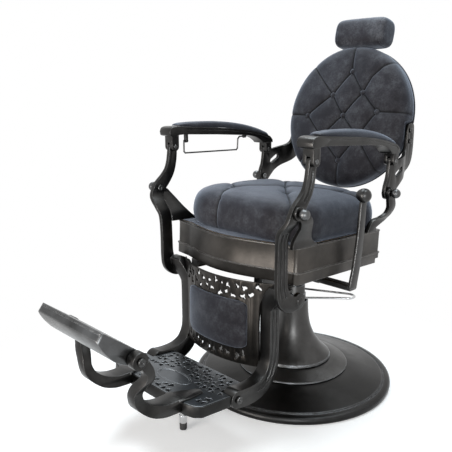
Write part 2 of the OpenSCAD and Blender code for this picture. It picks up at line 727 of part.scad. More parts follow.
module front_post() {
  difference() {
    union() {
      intersection() {
        along_x(half_w - 40, post_x + 40) polygon(strip(post_side));
        along_y(-420, -220) polygon(strip(post_front));
      }
      // volute behind the foot of the post
      pin(half_w - 9 - post_t / 2, half_w - 9 + post_t / 2, [-276, 402], 22);
      pin(half_w - 9 - post_t / 2, half_w - 9 + post_t / 2 + 3, [-276, 402], 11);
      intersection() {
        along_x(80, half_w) polygon(strip(rail_side));
        along_y(-520, -260) polygon(strip(rail_front));
        translate([0, -600, 80]) cube([400, 400, band_z - 5 - 80]);
      }
      pin(rail_mid - rail_w / 2, rail_mid + rail_w / 2, plate_pivot, 25);
      pin(post_x, post_x + post_t, pivot_c, eye_r - 2);
      pin(post_x, post_x + post_t, pivot_d, eye_r + 5);
    }
    pin(post_x - 1, post_x + post_t + 1, pivot_c, pin_r + pin_clear);
    pin(post_x - 1, post_x + post_t + 1, pivot_d, pin_r + pin_clear);
    pin(100, 300, plate_pivot, pin_r + pin_clear);
    // flutes on the upper stem, the upright and the rail
    flute_cut([for (k = [1 : 4]) post_side[k]], post_front, 12, 0);
    flute_cut([for (k = [8 : 13]) post_side[k]], post_front, 8, -8);
    flute_cut([for (k = [8 : 13]) post_side[k]], post_front, 8, 7);
    flute_cut([for (k = [2 : 8]) rail_side[k]], rail_front, 8, -8);
    flute_cut([for (k = [2 : 8]) rail_side[k]], rail_front, 8, 7);
  }
}

panel_r = (pow(rail_mid - rail_w / 2, 2) + pow(panel_bow, 2)) / (2 * panel_bow);
panel_y = -374;                         // front of the bowed panel at its middle
panel_z = [196, 446];
panel_cy = panel_y + panel_r;

// One leaf-shaped hole of length l and width w, with its tips on the u axis
module leaf(l, w) {
  polygon(concat(
    [for (k = [0 : 5]) [l * (k / 6 - 0.5), w / 2 * sin(180 * k / 6)]],
    [for (k = [0 : 5]) [l * (0.5 - k / 6), -w / 2 * sin(180 * k / 6)]]));
}

// Leaves of a band w wide and h high, in rows that lean to and fro like a vine
module leaf_band(w, h, rows, pitch) {
  columns = floor(w / pitch / 2);
  for (j = [0 : rows - 1], i = [-columns : columns]) {
    u = (i + (j % 2 == 0 ? 0 : 0.5)) * pitch + 1.5 * sin(i * 113 + j * 41);
    v = (j - (rows - 1) / 2) * h / rows + 1.2 * sin(i * 67 + j * 89);
    turn = ((i + j) % 2 == 0 ? 34 : -38) + 18 * sin(i * 77 + j * 50);
    size = 0.8 + 0.2 * sin(i * 131 + j * 97);
    if (abs(u) < w / 2 - pitch / 3)
      translate([u, v]) rotate(turn) leaf(leaf_l * 0.82 * size, leaf_w * (0.6 + 0.4 * size));
  }
}

module legrest_panel() {
  path = [for (r = spline(rail_front)) if (r[1] > panel_z[0] + 2 && r[1] < panel_z[1] - 2)
    [r[0], r[1]]];
  last = path[len(path) - 1];
  half = concat([[rail_mid, panel_z[0]]], path, [[last[0] + 3, panel_z[1]]]);
  color(bronze) difference() {
    intersection() {
      translate([0, panel_cy, panel_z[0]]) difference() {
        cylinder(r = panel_r, h = panel_z[1] - panel_z[0], $fn = 180);
        translate([0, 0, -1]) cylinder(r = panel_r - panel_t, h = 300, $fn = 180);
      }
      along_y(panel_y - 5, panel_y + 90) polygon(concat(half,
        [for (k = [len(half) - 1 : -1 : 0]) [-half[k][0], half[k][1]]]));
    }
    // the rails stand clear at both sides
    for (s = [1, -1]) on_side(s) along_y(panel_y - 10, panel_y + 95)
      polygon(strip([for (r = rail_front) [r[0], r[1], r[2] + 2 * seat_gap]]));
    along_y(panel_y - 10, panel_y + 90) {
      translate([0, (pad_z + pad_h / 2 + panel_z[1]) / 2]) leaf_band(292, 54, 3, 23);
      translate([0, (pad_z - pad_h / 2 + panel_z[0]) / 2]) leaf_band(262, 50, 3, 23);
    }
  }
}

pad_z = 316;
pad_depth = 13;                         // thickness of the pad at its middle

module legrest_pad() {
  m = 20;
  n = 14;
  color(hide) skin([for (i = [0 : m])
    let (t = -cos(180 * i / m), x = pad_w / 2 * t, e = pow(1 - pow(abs(t), 9) + 0.0001, 0.4),
      hz = pad_h / 2 * (0.7 + 0.3 * e))
    [for (j = [0 : n - 1])
      let (a = 180 * j / (n - 1), c = cos(a),
        v = (c < 0 ? -1 : 1) * hz * pow(abs(c), 0.45),
        out = seat_gap + pad_depth * (0.1 + 0.9 * e) * pow(max(sin(a), 0), 0.4)
          * (1 + 0.25 * (1 - pow(v / hz, 2)) * (1 - t * t)))
      [x, panel_cy - sqrt(pow(panel_r + out, 2) - x * x), pad_z + v]]]);
}

// ---------- footplate ----------

plate_tilt = 6;
plate_hi = 15;                          // top of the plate above its pivot
plate_front = -154;
plate_rear = 57;
lug_clear = 28;

module on_plate() {
  translate([0, plate_pivot[0], plate_pivot[1]]) rotate([-plate_tilt, 0, 0]) children();
}

function plate_plan(d) =
  let (n = rail_mid - rail_w / 2 - 2 + d, w = legrest_w / 2 - 2 + d, c = d * 0.4)
  [[n, plate_rear + d], [-n, plate_rear + d], [-n, -lug_clear + d], [-w, -lug_clear + d],
    [-w, plate_front + 26 - c], [-w + 14 - c, plate_front + 8 - d], [-w + 42, plate_front - d],
    [w - 42, plate_front - d], [w - 14 + c, plate_front + 8 - d], [w, plate_front + 26 - c],
    [w, -lug_clear + d], [n, -lug_clear + d]];

oval = [62, 31];                        // half axes of the plain oval
oval_y = -68;

module footplate() {
  color(iron) on_plate() difference() {
    union() {
      translate([0, 0, plate_hi - plate_rim]) linear_extrude(plate_rim) difference() {
        polygon(plate_plan(0));
        polygon(plate_plan(-plate_wall));
      }
      translate([0, 0, plate_hi - plate_top]) linear_extrude(plate_top - 1)
        polygon(plate_plan(-plate_wall / 2));
      // bosses of the hinge and the prop
      for (s = [-1, 1]) on_side(s)
        pin(rail_mid - rail_w / 2 - 26, rail_mid - rail_w / 2 - 2, [0, 0], 14);
      translate([0, prop_y, plate_hi - plate_rim]) cylinder(r = 16, h = plate_rim - 2);
      // plain oval shield with a raised border
      translate([0, oval_y, plate_hi - 3]) linear_extrude(3.5) difference() {
        scale_oval(1);
        scale_oval(0.9);
      }
    }
    translate([0, 0, plate_hi - plate_top - 1]) linear_extrude(plate_top + 2) difference() {
      translate([0, (plate_rear + plate_front) / 2]) leaf_band(330, 190, 11, 24);
      square_frame();
      translate([0, oval_y]) scale_oval(1.12);
      for (s = [-1, 1]) on_side(s) polygon([[66, plate_front], [146, plate_front], [146, -70],
        [108, -70]]);
      translate([0, prop_y]) circle(r = 20);
    }
    for (s = [-1, 1]) on_side(s) pin(100, 200, [0, 0], pin_r + pin_clear);
    translate([0, prop_y, plate_hi - plate_rim - 1]) cylinder(r = 8 + pin_clear, h = 20);
  }
}

module scale_oval(k) {
  polygon([for (a = [0 : 10 : 350]) [oval[0] * k * cos(a), oval[1] * k * sin(a)]]);
}

// Everything outside the plate's pierced field
module square_frame() {
  difference() {
    square([600, 600], center = true);
    polygon(plate_plan(-plate_wall - 6));
  }
}

prop_y = -36;

module prop_leg() {
  color(steel) on_plate() translate([0, prop_y, 0]) {
    // spigot in the plate's boss
    translate([0, 0, plate_hi - plate_rim - 14]) cylinder(r = 8, h = 28);
    rotate([plate_tilt, 0, 0]) {
      translate([0, 0, -prop_drop]) cylinder(r = 8, h = prop_drop - 26);
      translate([0, 0, -prop_drop + 30]) cylinder(r = 10.5, h = prop_drop - 30 - 18);
    }
  }
}

prop_drop = 140;

module prop_foot() {
  color(rubber) on_plate() translate([0, prop_y, 0]) rotate([plate_tilt, 0, 0]) difference() {
    translate([0, 0, -prop_drop - 18]) cylinder(r1 = 10, r2 = 12, h = 46);
    translate([0, 0, -prop_drop - seat_gap]) cylinder(r = 8 + pin_clear, h = 60);
  }
}

module hinge_bolt(x0, x1, at) {
  pin(x0, x1 + 1, at, pin_r);
  difference() {
    pin(x1 + seat_gap, x1 + 7, at, pin_r + 4);
    translate([x1 + 3, at[0], at[1]]) rotate([0, 90, 0]) cylinder(r = 3.5, h = 5, $fn = 6);
  }
}

module footplate_bolts() {
  color(iron) for (s = [1, -1]) on_side(s)
    hinge_bolt(rail_mid - rail_w / 2 - 24, legrest_w / 2, plate_pivot);
}

flap_pivot = [-751, 358];
goose_side = [[-600, 180, 31], [-622, 180, 30], [-642, 181, 29], [-668, 185, 29], [-700, 198, 28],
  [-726, 221, 27], [-736, 249, 25], [-732, 274, 24], [-724, 297, 23], [-724, 322, 23],
  [-738, 345, 26]];
goose_x = flap_w / 2 + 2;               // inner face of the boss
goose_front = [[106, 150, 62], [106, 182, 60], [107, 204, 42], [109, 228, 31], [112, 250, 28],
  [119, 268, 27], [134, 286, 26], [goose_x + goose_t / 2 - 2, 304, 25],
  [goose_x + goose_t / 2, 326, goose_t], [goose_x + goose_t / 2, 380, goose_t]];

module gooseneck() {
  difference() {
    union() {
      intersection() {
        along_x(60, 200) polygon(strip(goose_side));
        along_y(-800, -600) polygon(strip(goose_front));
      }
      pin(goose_x, goose_x + goose_t, flap_pivot, 22);
      // tapered root on the plate
      on_plate() translate([0, 0, plate_hi + seat_gap]) linear_extrude(6)
        polygon([[76, plate_front - 6], [137, plate_front - 6], [137, plate_front + 30],
          [130, -78], [112, -72], [104, -80]]);
    }
    pin(100, 220, flap_pivot, pin_r + pin_clear);
    // the bar stops at the plate's front edge
    on_plate() translate([0, plate_front - seat_gap, plate_hi + seat_gap - 60])
      cube([300, 60, 60]);
  }
}

flap_tilt = 37.5;

module on_flap() {
  translate([0, flap_pivot[0], flap_pivot[1]]) rotate([-flap_tilt, 0, 0]) children();
}

module flap() {
  tip = 27 - flap_l;
  hi = 20;
  w = flap_w / 2;
  outline = concat([[27, hi - 2], [25, hi], [tip + 2, hi], [tip, hi - 2], [tip, hi - flap_t + 2]],
    spline([[tip + 2, hi - flap_t], [tip + 18, hi - flap_t - 8], [tip + 38, hi - flap_t - 15],
      [tip + 68, hi - flap_t - 21], [tip + 96, hi - flap_t - 19], [tip + 122, hi - flap_t - 12],
      [24, 0]], 3), [[27, 4]]);
  color(iron) on_flap() difference() {
    intersection() {
      along_x(-w, w) polygon(outline);
      linear_extrude(100, center = true) translate([0, (tip + 27) / 2])
        polygon(soft_rect(flap_w, flap_l, 9, 4));
    }
    for (s = [-1, 1]) on_side(s) pin(w - 24, w + 1, [0, 0], pin_r + pin_clear);
    // rib line along the tip
    translate([-w - 1, tip - 1, hi - 7]) cube([2 * w + 2, 2, 1.5]);
  }
}

module flap_bolts() {
  color(iron) for (s = [1, -1]) on_side(s)
    hinge_bolt(flap_w / 2 - 20, goose_x + goose_t, flap_pivot);
}

// ---------- armrests ----------

arm_top = spline([[-318, 834], [-311, 846], [-288, 850], [-240, 847], [-180, 843], [-100, 838],
  [-20, 830], [50, 819], [104, 807], [132, 799], [147, 786]], 4);
arm_low = spline([[151, 764], [144, 752], [120, 750], [106, 764], [92, 782], [66, 797], [30, 806],
  [-30, 811], [-120, 817], [-200, 821], [-262, 824], [-290, 822], [-307, 820], [-316, 824]], 3);
arm_plan = [[front_ear_x - 1, -330, arm_w], [front_ear_x - 1, -290, arm_w],
  [front_ear_x - 4, -200, arm_w - 2], [front_ear_x - 9, -60, arm_w - 3],
  [rear_ear_x + 4, 60, arm_w - 5], [rear_ear_x, 130, arm_w - 8], [rear_ear_x, 190, arm_w - 9]];

// Middle and width of the armrest at y
function arm_mid(y) = lookup(y, [for (r = arm_plan) [r[1], r[0]]]);
function arm_width(y) = lookup(y, [for (r = arm_plan) [r[1], r[2]]]);

ear_span = 2 * ear_t + 2 * link_gap;

module armrest(towel) {
  difference() {
    union() {
      difference() {
        intersection() {
          along_x(180, 340) polygon(concat(arm_top, arm_low));
          linear_extrude(1000) polygon(strip(arm_plan, 3));
        }
        // the frame narrows to the rear ears below
        translate([180, 90, 700]) cube([160, 90, 76]);
      }
      ear(front_ear_x, post_t + ear_span, pivot_c, [-316, -262], 38);
      ear(rear_ear_x, bracket_t + ear_span, pivot_b, [108, 162], 28);
      if (towel) for (k = [0 : 1]) translate([towel_x, towel_ends[k], towel_z])
        rotate([90, 0, 0]) translate([0, 0, -5]) {
          cylinder(r = 6, h = 10);
          translate([-5, 0, 0]) cube([10, towel_lugs[k], 10]);
        }
    }
    slot(post_x - link_gap, post_t + 2 * link_gap, pivot_c);
    slot(bracket_x - link_gap, bracket_t + 2 * link_gap, pivot_b);
    // moulding line along both sides
    for (s = [-1, 1]) intersection() {
      along_x(180, 340) polygon(strip([for (k = [12 : 4 : 36]) [arm_top[k][0], arm_top[k][1] - 7, 2]]));
      linear_extrude(1000) polygon(strip([for (r = arm_plan) [r[0] + s * r[2] / 2, r[1], 2.4]], 3));
    }
    pin(200, 340, pivot_c, pin_r + press_clear);
    pin(200, 340, pivot_b, pin_r + press_clear);
    if (towel) for (y = towel_ends) translate([towel_x, y + 12, towel_z]) rotate([90, 0, 0])
      cylinder(r = towel_r + pin_clear, h = 24);
  }
}

// A pair of ears as one block, rounded about its pin
module ear(x, w, at, span, rise) {
  intersection() {
    union() {
      pin(x - w / 2, x + w / 2, at, eye_r - 2);
      translate([x - w / 2, at[0] - eye_r + 2, at[1]]) cube([w, 2 * eye_r - 4, rise]);
    }
    translate([0, span[0], 0]) cube([400, span[1] - span[0], 1000]);
  }
}

module slot(x, w, at) {
  pin(x, x + w, at, eye_r + 3);
  translate([x, at[0] - eye_r - 12, at[1] - 40]) cube([w, 2 * eye_r + 24, 40]);
}

// Stuffed pad that follows the frame's top
module arm_pad() {
  y0 = -274;
  y1 = 133;
  m = 22;
  n = 14;
  color(hide) skin([for (i = [0 : m])
    let (t = i / m, y = y0 + (y1 - y0) * t, e = pow(sin(180 * max(0.004, min(0.996, t))), 0.35),
      w = (arm_width(y) - 3) / 2 * (0.55 + 0.45 * e), z = lookup(y, arm_top))
    [for (j = [0 : n - 1])
      let (a = 180 * j / (n - 1), c = cos(a), s = sin(a),
        cc = (c < 0 ? -1 : 1) * pow(abs(c), 0.7))
      [arm_mid(y) + w * cc, y, z + seat_gap + 0.4 + arm_pad_h * e * pow(max(s, 0), 0.55)]]]);
}

towel_r = 2.5;
towel_ends = [-236, 34];
towel_lugs = [24, 12];                  // rise of the lugs into the frame
towel_x = front_ear_x - 6;
towel_z = 802;
towel_drop = 39;                        // fall of the bail at its front end
towel_fall = 6;                         // how much lower its rear end hangs

// Wire bail under the armrest
module towel_bar() {
  a = towel_ends[0];
  b = towel_ends[1];
  low = towel_z - towel_drop;
  route = [[a + 6, towel_z], [a - 9, towel_z], [a - 9, low + 5], [a - 4, low], [b - 39, low - towel_fall],
    [b - 34, low - towel_fall + 5], [b - 32, towel_z - 8], [b - 24, towel_z], [b + 6, towel_z]];
  color(iron) translate([-towel_x, 0, 0]) for (k = [0 : len(route) - 2]) {
    p = route[k];
    q = route[k + 1];
    d = q - p;
    translate([0, p[0], p[1]]) {
      if (k > 0) sphere(r = towel_r + 0.3, $fn = 24);
      rotate([-atan2(d[0], d[1]), 0, 0]) cylinder(r = towel_r, h = norm(d), $fn = 24);
    }
  }
}

// Clevis pins at the front and rear of an armrest
module arm_pins() {
  w = post_t + ear_span;
  v = bracket_t + ear_span;
  color(steel) {
    pin(front_ear_x - w / 2 - 1, front_ear_x + w / 2 + 1, pivot_c, pin_r);
    pin(rear_ear_x - v / 2 - 1, rear_ear_x + v / 2 + 1, pivot_b, pin_r);
  }
}

// ---------- backrest ----------

bracket_out = concat(
  [[120, 760], [116, 720], [112, 700], [102, 676], [98, 655]],
  spline([[104, 640], [121, 633], [142, 640], [160, 656], [180, 672], [206, 686], [240, 700],
    [272, 715], [290, 736], [297, 768], [298, 810], [296, 846], [288, 856], [268, 856],
    [260, 846], [258, 810], [252, 780], [234, 764], [200, 756], [164, 750]], 3),
  [[144, 760]]);
bracket_plan = [[rear_ear_x, 50, bracket_t], [rear_ear_x, 150, bracket_t],
  [rear_ear_x, 186, bracket_t], [rear_ear_x - 6, 214, bracket_t],
  [rear_ear_x - 18, 240, bracket_t], [rear_ear_x - 23.5, 264, bracket_t],
  [rear_ear_x - 23.5, 330, bracket_t]];
leg_x = rear_ear_x - 23.5 - bracket_t / 2;

module back_bracket() {
  difference() {
    union() {
      intersection() {
        along_x(200, 300) polygon(bracket_out);
        linear_extrude(1000) polygon(strip(bracket_plan));
      }
      pin(bracket_x, bracket_x + bracket_t, pivot_b, eye_r - 2);
      pin(bracket_x, bracket_x + bracket_t, pivot_a, eye_r + 5);
    }
    pin(bracket_x - 1, bracket_x + bracket_t + 1, pivot_a, pin_r + pin_clear);
    pin(bracket_x - 1, bracket_x + bracket_t + 1, pivot_b, pin_r + rear_pin_play);
    // oval eye
    for (k = [0 : 1]) pin(200, 300, [163 + 28 * k, 706 + 15 * k], 8.5);
    along_x(200, 300) translate([163, 706]) rotate(atan2(15, 28))
      translate([0, -8.5]) square([norm([28, 15]), 17]);
    for (at = back_bolt_at) pin(200, 300, at, 4 + pin_clear);
  }
}

back_bolt_at = [[273, 835], [275, 800]];
bolt_reach = 17.5;                      // depth of the bracket screws inside the leg's face
back_bolt_x = leg_x - bolt_reach;       // their inner ends

module back_bolts() {
  color(iron) for (s = [1, -1], at = back_bolt_at) on_side(s) {
    pin(back_bolt_x, leg_x + bracket_t + 2, at, 4);
    pin(leg_x + bracket_t + seat_gap, leg_x + bracket_t + 5, at, 8);
  }
}

// ---------- nodes ----------

base_disc();
base_step();
bell_cover();
pump_body();
pump_lever();
lift_ram();
swivel_hub();
seat_rails();
seat_frame();
seat_board();
seat_cushion();
color(iron) on_side(1) front_bracket();  // front_bracket_l
color(iron) on_side(-1) front_bracket();  // front_bracket_r
color(iron) on_side(1) rear_standard();  // rear_standard_l
color(iron) on_side(-1) rear_standard();  // rear_standard_r
pivot_pins();
recline_lever();
recline_knob();
color(iron) on_side(1) front_post();  // front_post_l
color(iron) on_side(-1) front_post();  // front_post_r
legrest_panel();
legrest_pad();
footplate();
footplate_bolts();
color(iron) on_side(1) gooseneck();  // gooseneck_l
color(iron) on_side(-1) gooseneck();  // gooseneck_r
prop_leg();
prop_foot();
flap();
flap_bolts();
color(iron) on_side(1) armrest(false);  // armrest_l
color(iron) on_side(-1) armrest(true);  // armrest_r
on_side(1) arm_pad();  // arm_pad_l
on_side(-1) arm_pad();  // arm_pad_r
on_side(1) arm_pins();  // arm_pins_l
on_side(-1) arm_pins();  // arm_pins_r
towel_bar();
color(iron) on_side(1) back_bracket();  // back_bracket_l
color(iron) on_side(-1) back_bracket();  // back_bracket_r
back_bolts();
back_shell();
back_cushion();
head_socket();
head_stem();
head_cushion();
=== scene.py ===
# %% [markdown]
# # A hydraulic barber chair
# This lesson dresses an engineering model of a barber chair: its castings, levers and linkage
# come from CAD as fixed solids, and Blender adds rounded edges, worn metal with painted
# highlight and shade, tufted leather with painted shade in its creases, buttons and light.
# Every length is in metres. X is across the chair, the front faces -Y and
# Z is up, with the origin on the floor at the middle of the base.

# %% Load the fixed frame
import json
import math
import bmesh
import bpy
import numpy as np
from mathutils import Matrix, Vector
from mathutils.geometry import delaunay_2d_cdt

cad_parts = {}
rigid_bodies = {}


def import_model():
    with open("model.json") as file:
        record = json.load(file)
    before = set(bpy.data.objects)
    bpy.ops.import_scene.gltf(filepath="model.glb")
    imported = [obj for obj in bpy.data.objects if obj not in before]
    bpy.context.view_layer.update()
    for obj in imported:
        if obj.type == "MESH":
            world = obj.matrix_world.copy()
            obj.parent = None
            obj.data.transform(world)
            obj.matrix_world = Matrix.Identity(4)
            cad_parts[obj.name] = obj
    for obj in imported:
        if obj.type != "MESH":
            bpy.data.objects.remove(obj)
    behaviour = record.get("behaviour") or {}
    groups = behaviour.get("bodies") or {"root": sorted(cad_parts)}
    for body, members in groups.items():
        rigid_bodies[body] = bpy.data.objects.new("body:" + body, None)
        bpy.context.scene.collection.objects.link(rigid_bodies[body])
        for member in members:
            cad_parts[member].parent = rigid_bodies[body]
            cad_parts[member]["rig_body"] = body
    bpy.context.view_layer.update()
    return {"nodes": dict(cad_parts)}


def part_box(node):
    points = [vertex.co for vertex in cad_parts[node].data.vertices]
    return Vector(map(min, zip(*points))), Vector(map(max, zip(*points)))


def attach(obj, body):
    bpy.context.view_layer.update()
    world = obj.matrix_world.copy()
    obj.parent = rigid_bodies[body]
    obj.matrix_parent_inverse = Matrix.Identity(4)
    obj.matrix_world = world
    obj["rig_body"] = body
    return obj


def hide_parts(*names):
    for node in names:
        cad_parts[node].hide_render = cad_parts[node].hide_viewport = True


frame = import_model()
nodes = frame["nodes"]
scene = bpy.context.scene


def placed(name, data):
    """A new object in the scene, at the origin."""
    made = bpy.data.objects.new(name, data)
    scene.collection.objects.link(made)
    return made


# %% [markdown]
# ## The camera
# The chair is seen half from the side and from a little above its seat. A focal length of
# 1.3 image widths gives a calm perspective. The camera is aimed with a matrix whose columns
# are its right, up and back directions, which is exact and needs no constraint.

# %% Camera
SENSOR = 36.0
FOCAL_WIDTHS = 585.5 / 452            # focal length in image widths
AZIMUTH, ELEVATION = math.radians(45.51), math.radians(13.20)
DISTANCE = 1.920
AIM_RIGHT, AIM_UP = -0.2283, 0.5263   # the aimed point, right of the base and above the floor

cam_back = Vector((math.sin(AZIMUTH) * math.cos(ELEVATION),
                   -math.cos(AZIMUTH) * math.cos(ELEVATION), math.sin(ELEVATION)))
cam_right = Vector((math.cos(AZIMUTH), math.sin(AZIMUTH), 0))
cam_up = cam_back.cross(cam_right)
cam_place = cam_right * AIM_RIGHT + Vector((0, 0, AIM_UP)) + cam_back * DISTANCE

lens = bpy.data.cameras.new("camera")
lens.sensor_width = SENSOR
lens.lens = SENSOR * FOCAL_WIDTHS
lens.clip_start, lens.clip_end = 0.05, 50
camera = placed("camera", lens)
turn = Matrix((cam_right, cam_up, cam_back)).transposed()
camera.matrix_world = Matrix.Translation(cam_place) @ turn.to_4x4()
scene.camera = camera
print("camera at", [round(v, 3) for v in cam_place], "lens", round(lens.lens, 2), "mm")

# %% [markdown]
# ## Small tools for node trees
# A material is a graph of nodes. These helpers keep each graph short to write: `add` makes a
# node, sets it up and joins its inputs in one line, and `new_group` starts a node group,
# which is a graph that many materials can share. A node passed as a value stands for its
# first output.

# %% Node helpers
def join(tree, node, values):
    """Gives each named input a number, a colour, a node or another node's output."""
    for key, value in values.items():
        if isinstance(value, bpy.types.Node):
            value = value.outputs[0]
        if isinstance(value, bpy.types.NodeSocket):
            tree.links.new(value, node.inputs[key])
        else:
            node.inputs[key].default_value = value
    return node


def add(tree, kind, values=(), **settings):
    """A new node, set up and joined."""
    node = tree.nodes.new(kind)
    for key, value in settings.items():
        setattr(node, key, value)
    return join(tree, node, dict(values))


def new_group(name, inputs, outputs, kind="ShaderNodeTree"):
    """A node group with named sockets: (label, socket type, default)."""
    tree = bpy.data.node_groups.new(name, kind)
    for label, socket, default in inputs:
        made = tree.interface.new_socket(label, in_out="INPUT", socket_type=socket)
        if default is not None:
            made.default_value = default
    for label, socket in outputs:
        tree.interface.new_socket(label, in_out="OUTPUT", socket_type=socket)
    return tree, add(tree, "NodeGroupInput"), add(tree, "NodeGroupOutput")


def mix_colour(tree, share, first, second):
    """Output of a node that mixes two colours by a share from 0 to 1."""
    return add(tree, "ShaderNodeMix", {0: share, 6: first, 7: second}, data_type="RGBA").outputs[2]


def times(tree, first, second, **settings):
    """A node that multiplies two values."""
    return add(tree, "ShaderNodeMath", {0: first, 1: second}, operation="MULTIPLY", **settings)


def ramp(tree, value, low=0.0, high=1.0, to=(0.0, 1.0), **settings):
    """A node that turns the range from low to high into the range to."""
    return add(tree, "ShaderNodeMapRange", {"Value": value, "From Min": low, "From Max": high,
                                            "To Min": to[0], "To Max": to[1]}, **settings)


def own_place(tree):
    """The shaded point's place in its object's own frame."""
    return add(tree, "ShaderNodeTexCoord").outputs["Object"]


def emptied(owner):
    """The node tree of a world or material, with no node in it."""
    owner.use_nodes = True
    owner.node_tree.nodes.clear()
    return owner.node_tree


def surfaced(tree, values):
    """Ends a material's tree with a Principled surface."""
    surface = add(tree, "ShaderNodeBsdfPrincipled", values)
    add(tree, "ShaderNodeOutputMaterial", {"Surface": surface.outputs[0]})


def use(tree, group, **values):
    """A node that runs a shared effect."""
    return add(tree, "ShaderNodeGroup", values, node_tree=group)


def grey(value, warm=0.0):
    """A grey, a little brown when warm is above 0 and a little blue when it is below."""
    return (value * (1 + warm), value, value * (1 - warm), 1)


FLOAT, VECTOR = "NodeSocketFloat", "NodeSocketVector"
print("node helpers ready")

# %% [markdown]
# ## Light and floor
# Dark metal and dark leather are hard to light: their shape shows only where something
# bright is mirrored in them. A white world is seen by camera, glossy and glass rays, so
# polished parts mirror a studio's white walls, while the light that falls on the chair comes
# from three soft lamps: a large one overhead, one low in front, and a small one on the
# sitter's left that puts a glint on the rounded castings.

# %% World and lamps
WHITE = (1, 1, 1, 1)
FILL = 0.20                           # how much of the walls' light falls on the chair


def seen_rays(tree):
    """1 for rays from the camera, a mirror or glass, and 0 for rays that light the chair."""
    path = add(tree, "ShaderNodeLightPath")
    seen = path.outputs["Is Camera Ray"]
    for kind in ("Is Glossy Ray", "Is Transmission Ray"):
        seen = add(tree, "ShaderNodeMath", {0: seen, 1: path.outputs[kind]}, operation="MAXIMUM")
    return seen


world = bpy.data.worlds.new("studio")
scene.world = world
tree = emptied(world)
walls = add(tree, "ShaderNodeBackground", {"Color": WHITE, "Strength": 1.0})
fill = add(tree, "ShaderNodeBackground", {"Color": WHITE, "Strength": FILL})
both = add(tree, "ShaderNodeMixShader", {0: seen_rays(tree), 1: fill, 2: walls})
add(tree, "ShaderNodeOutputWorld", {"Surface": both})


def soft_lamp(name, place, aim, size, watts, colour=(1, 1, 1)):
    """A square area lamp that faces a point."""
    lamp = bpy.data.lights.new(name, "AREA")
    lamp.shape, lamp.size, lamp.energy, lamp.color = "SQUARE", size, watts, colour
    obj = placed(name, lamp)
    obj.location = place
    obj.rotation_euler = (Vector(aim) - Vector(place)).to_track_quat("-Z", "Y").to_euler()


soft_lamp("overhead", (-0.3, 0.5, 3.4), (0, 0, 0.4), 2.4, 140, (0.86, 0.95, 1.0))
soft_lamp("front", (0.0, -2.7, 0.6), (0, -0.1, 0.4), 1.2, 46, (1.0, 0.95, 0.9))
soft_lamp("glint", (1.59, -1.77, 0.80), (0, -0.05, 0.3), 0.9, 24, (0.95, 0.98, 1.0))

# %% [markdown]
# The floor is pale and fades out towards its rim, so it has no horizon but keeps the shadow.
# It is lifted to white for the eye only: the added glow is seen, and lights nothing.

# %% Floor
FLOOR_SIZE, FLOOR_SOLID, FLOOR_FADED = 8.0, 0.40, 1.0
FLOOR_MIDDLE, FLOOR_DROP = (0, -0.2, 0), 0.0005
FLOOR_GREY = 0.93
FLOOR_LIFT = 0.25                     # brings the lit floor up to white
bpy.ops.mesh.primitive_plane_add(size=FLOOR_SIZE, location=(0, 0, -FLOOR_DROP))
floor = bpy.context.object
floor.name = "floor"
floor_paint = bpy.data.materials.new("pale floor")
tree = emptied(floor_paint)
middle = add(tree, "ShaderNodeVectorMath", {0: own_place(tree), 1: FLOOR_MIDDLE},
             operation="DISTANCE")
fade = ramp(tree, middle.outputs["Value"], FLOOR_SOLID, FLOOR_FADED,
            interpolation_type="SMOOTHSTEP")
pale = add(tree, "ShaderNodeBsdfDiffuse", {"Color": grey(FLOOR_GREY)})
glow = add(tree, "ShaderNodeEmission",
           {"Color": WHITE, "Strength": times(tree, seen_rays(tree), FLOOR_LIFT)})
pale = add(tree, "ShaderNodeAddShader", {0: pale, 1: glow})
clear = add(tree, "ShaderNodeBsdfTransparent")
ends = add(tree, "ShaderNodeMixShader", {0: fade, 1: pale, 2: clear})
add(tree, "ShaderNodeOutputMaterial", {"Surface": ends})
floor.data.materials.append(floor_paint)
scene.view_settings.view_transform = "Standard"
print("floor of", FLOOR_SIZE, "m, clear beyond", FLOOR_FADED, "m")

# %% [markdown]
# ## Shared effects
# Two effects are used by many finishes here. **Edge wear and painted shine** compares the true
# normal with one that is rounded over a small radius: where they differ there is an edge, and
# the edge is painted lighter, partly for the rubbing that real castings get there and partly
# as painted highlight for the bright lines that light draws along edges. **Cloudy** gives soft
# patches at two sizes, which break up the flat colour of both patinated metal and brushed leather.

# %% Shared effect: edge wear and painted shine
edge_wear_and_shine, g_in, g_out = new_group("edge wear and painted shine", [("Radius", FLOAT, 0.002), ("Breakup", FLOAT, 60.0)],
                              [("Edge", FLOAT), ("Normal", VECTOR)])
shape = add(edge_wear_and_shine, "ShaderNodeNewGeometry")
round_over = add(edge_wear_and_shine, "ShaderNodeBevel", {"Radius": g_in.outputs["Radius"]}, samples=4)
same = add(edge_wear_and_shine, "ShaderNodeVectorMath", {0: round_over, 1: shape.outputs["Normal"]},
           operation="DOT_PRODUCT")
# the edge mask: where it is 1 the metal is painted lighter, partly rubbing and partly painted
# highlight
edge = ramp(edge_wear_and_shine, same.outputs["Value"], 0.998, 0.84)
patchy = add(edge_wear_and_shine, "ShaderNodeTexNoise", {"Vector": own_place(edge_wear_and_shine), "Detail": 3.0,
                                          "Scale": g_in.outputs["Breakup"]})
edge = times(edge_wear_and_shine, edge, ramp(edge_wear_and_shine, patchy, 0.3, 0.62, (0.35, 1.0)), use_clamp=True)
join(edge_wear_and_shine, g_out, {"Edge": edge, "Normal": round_over})

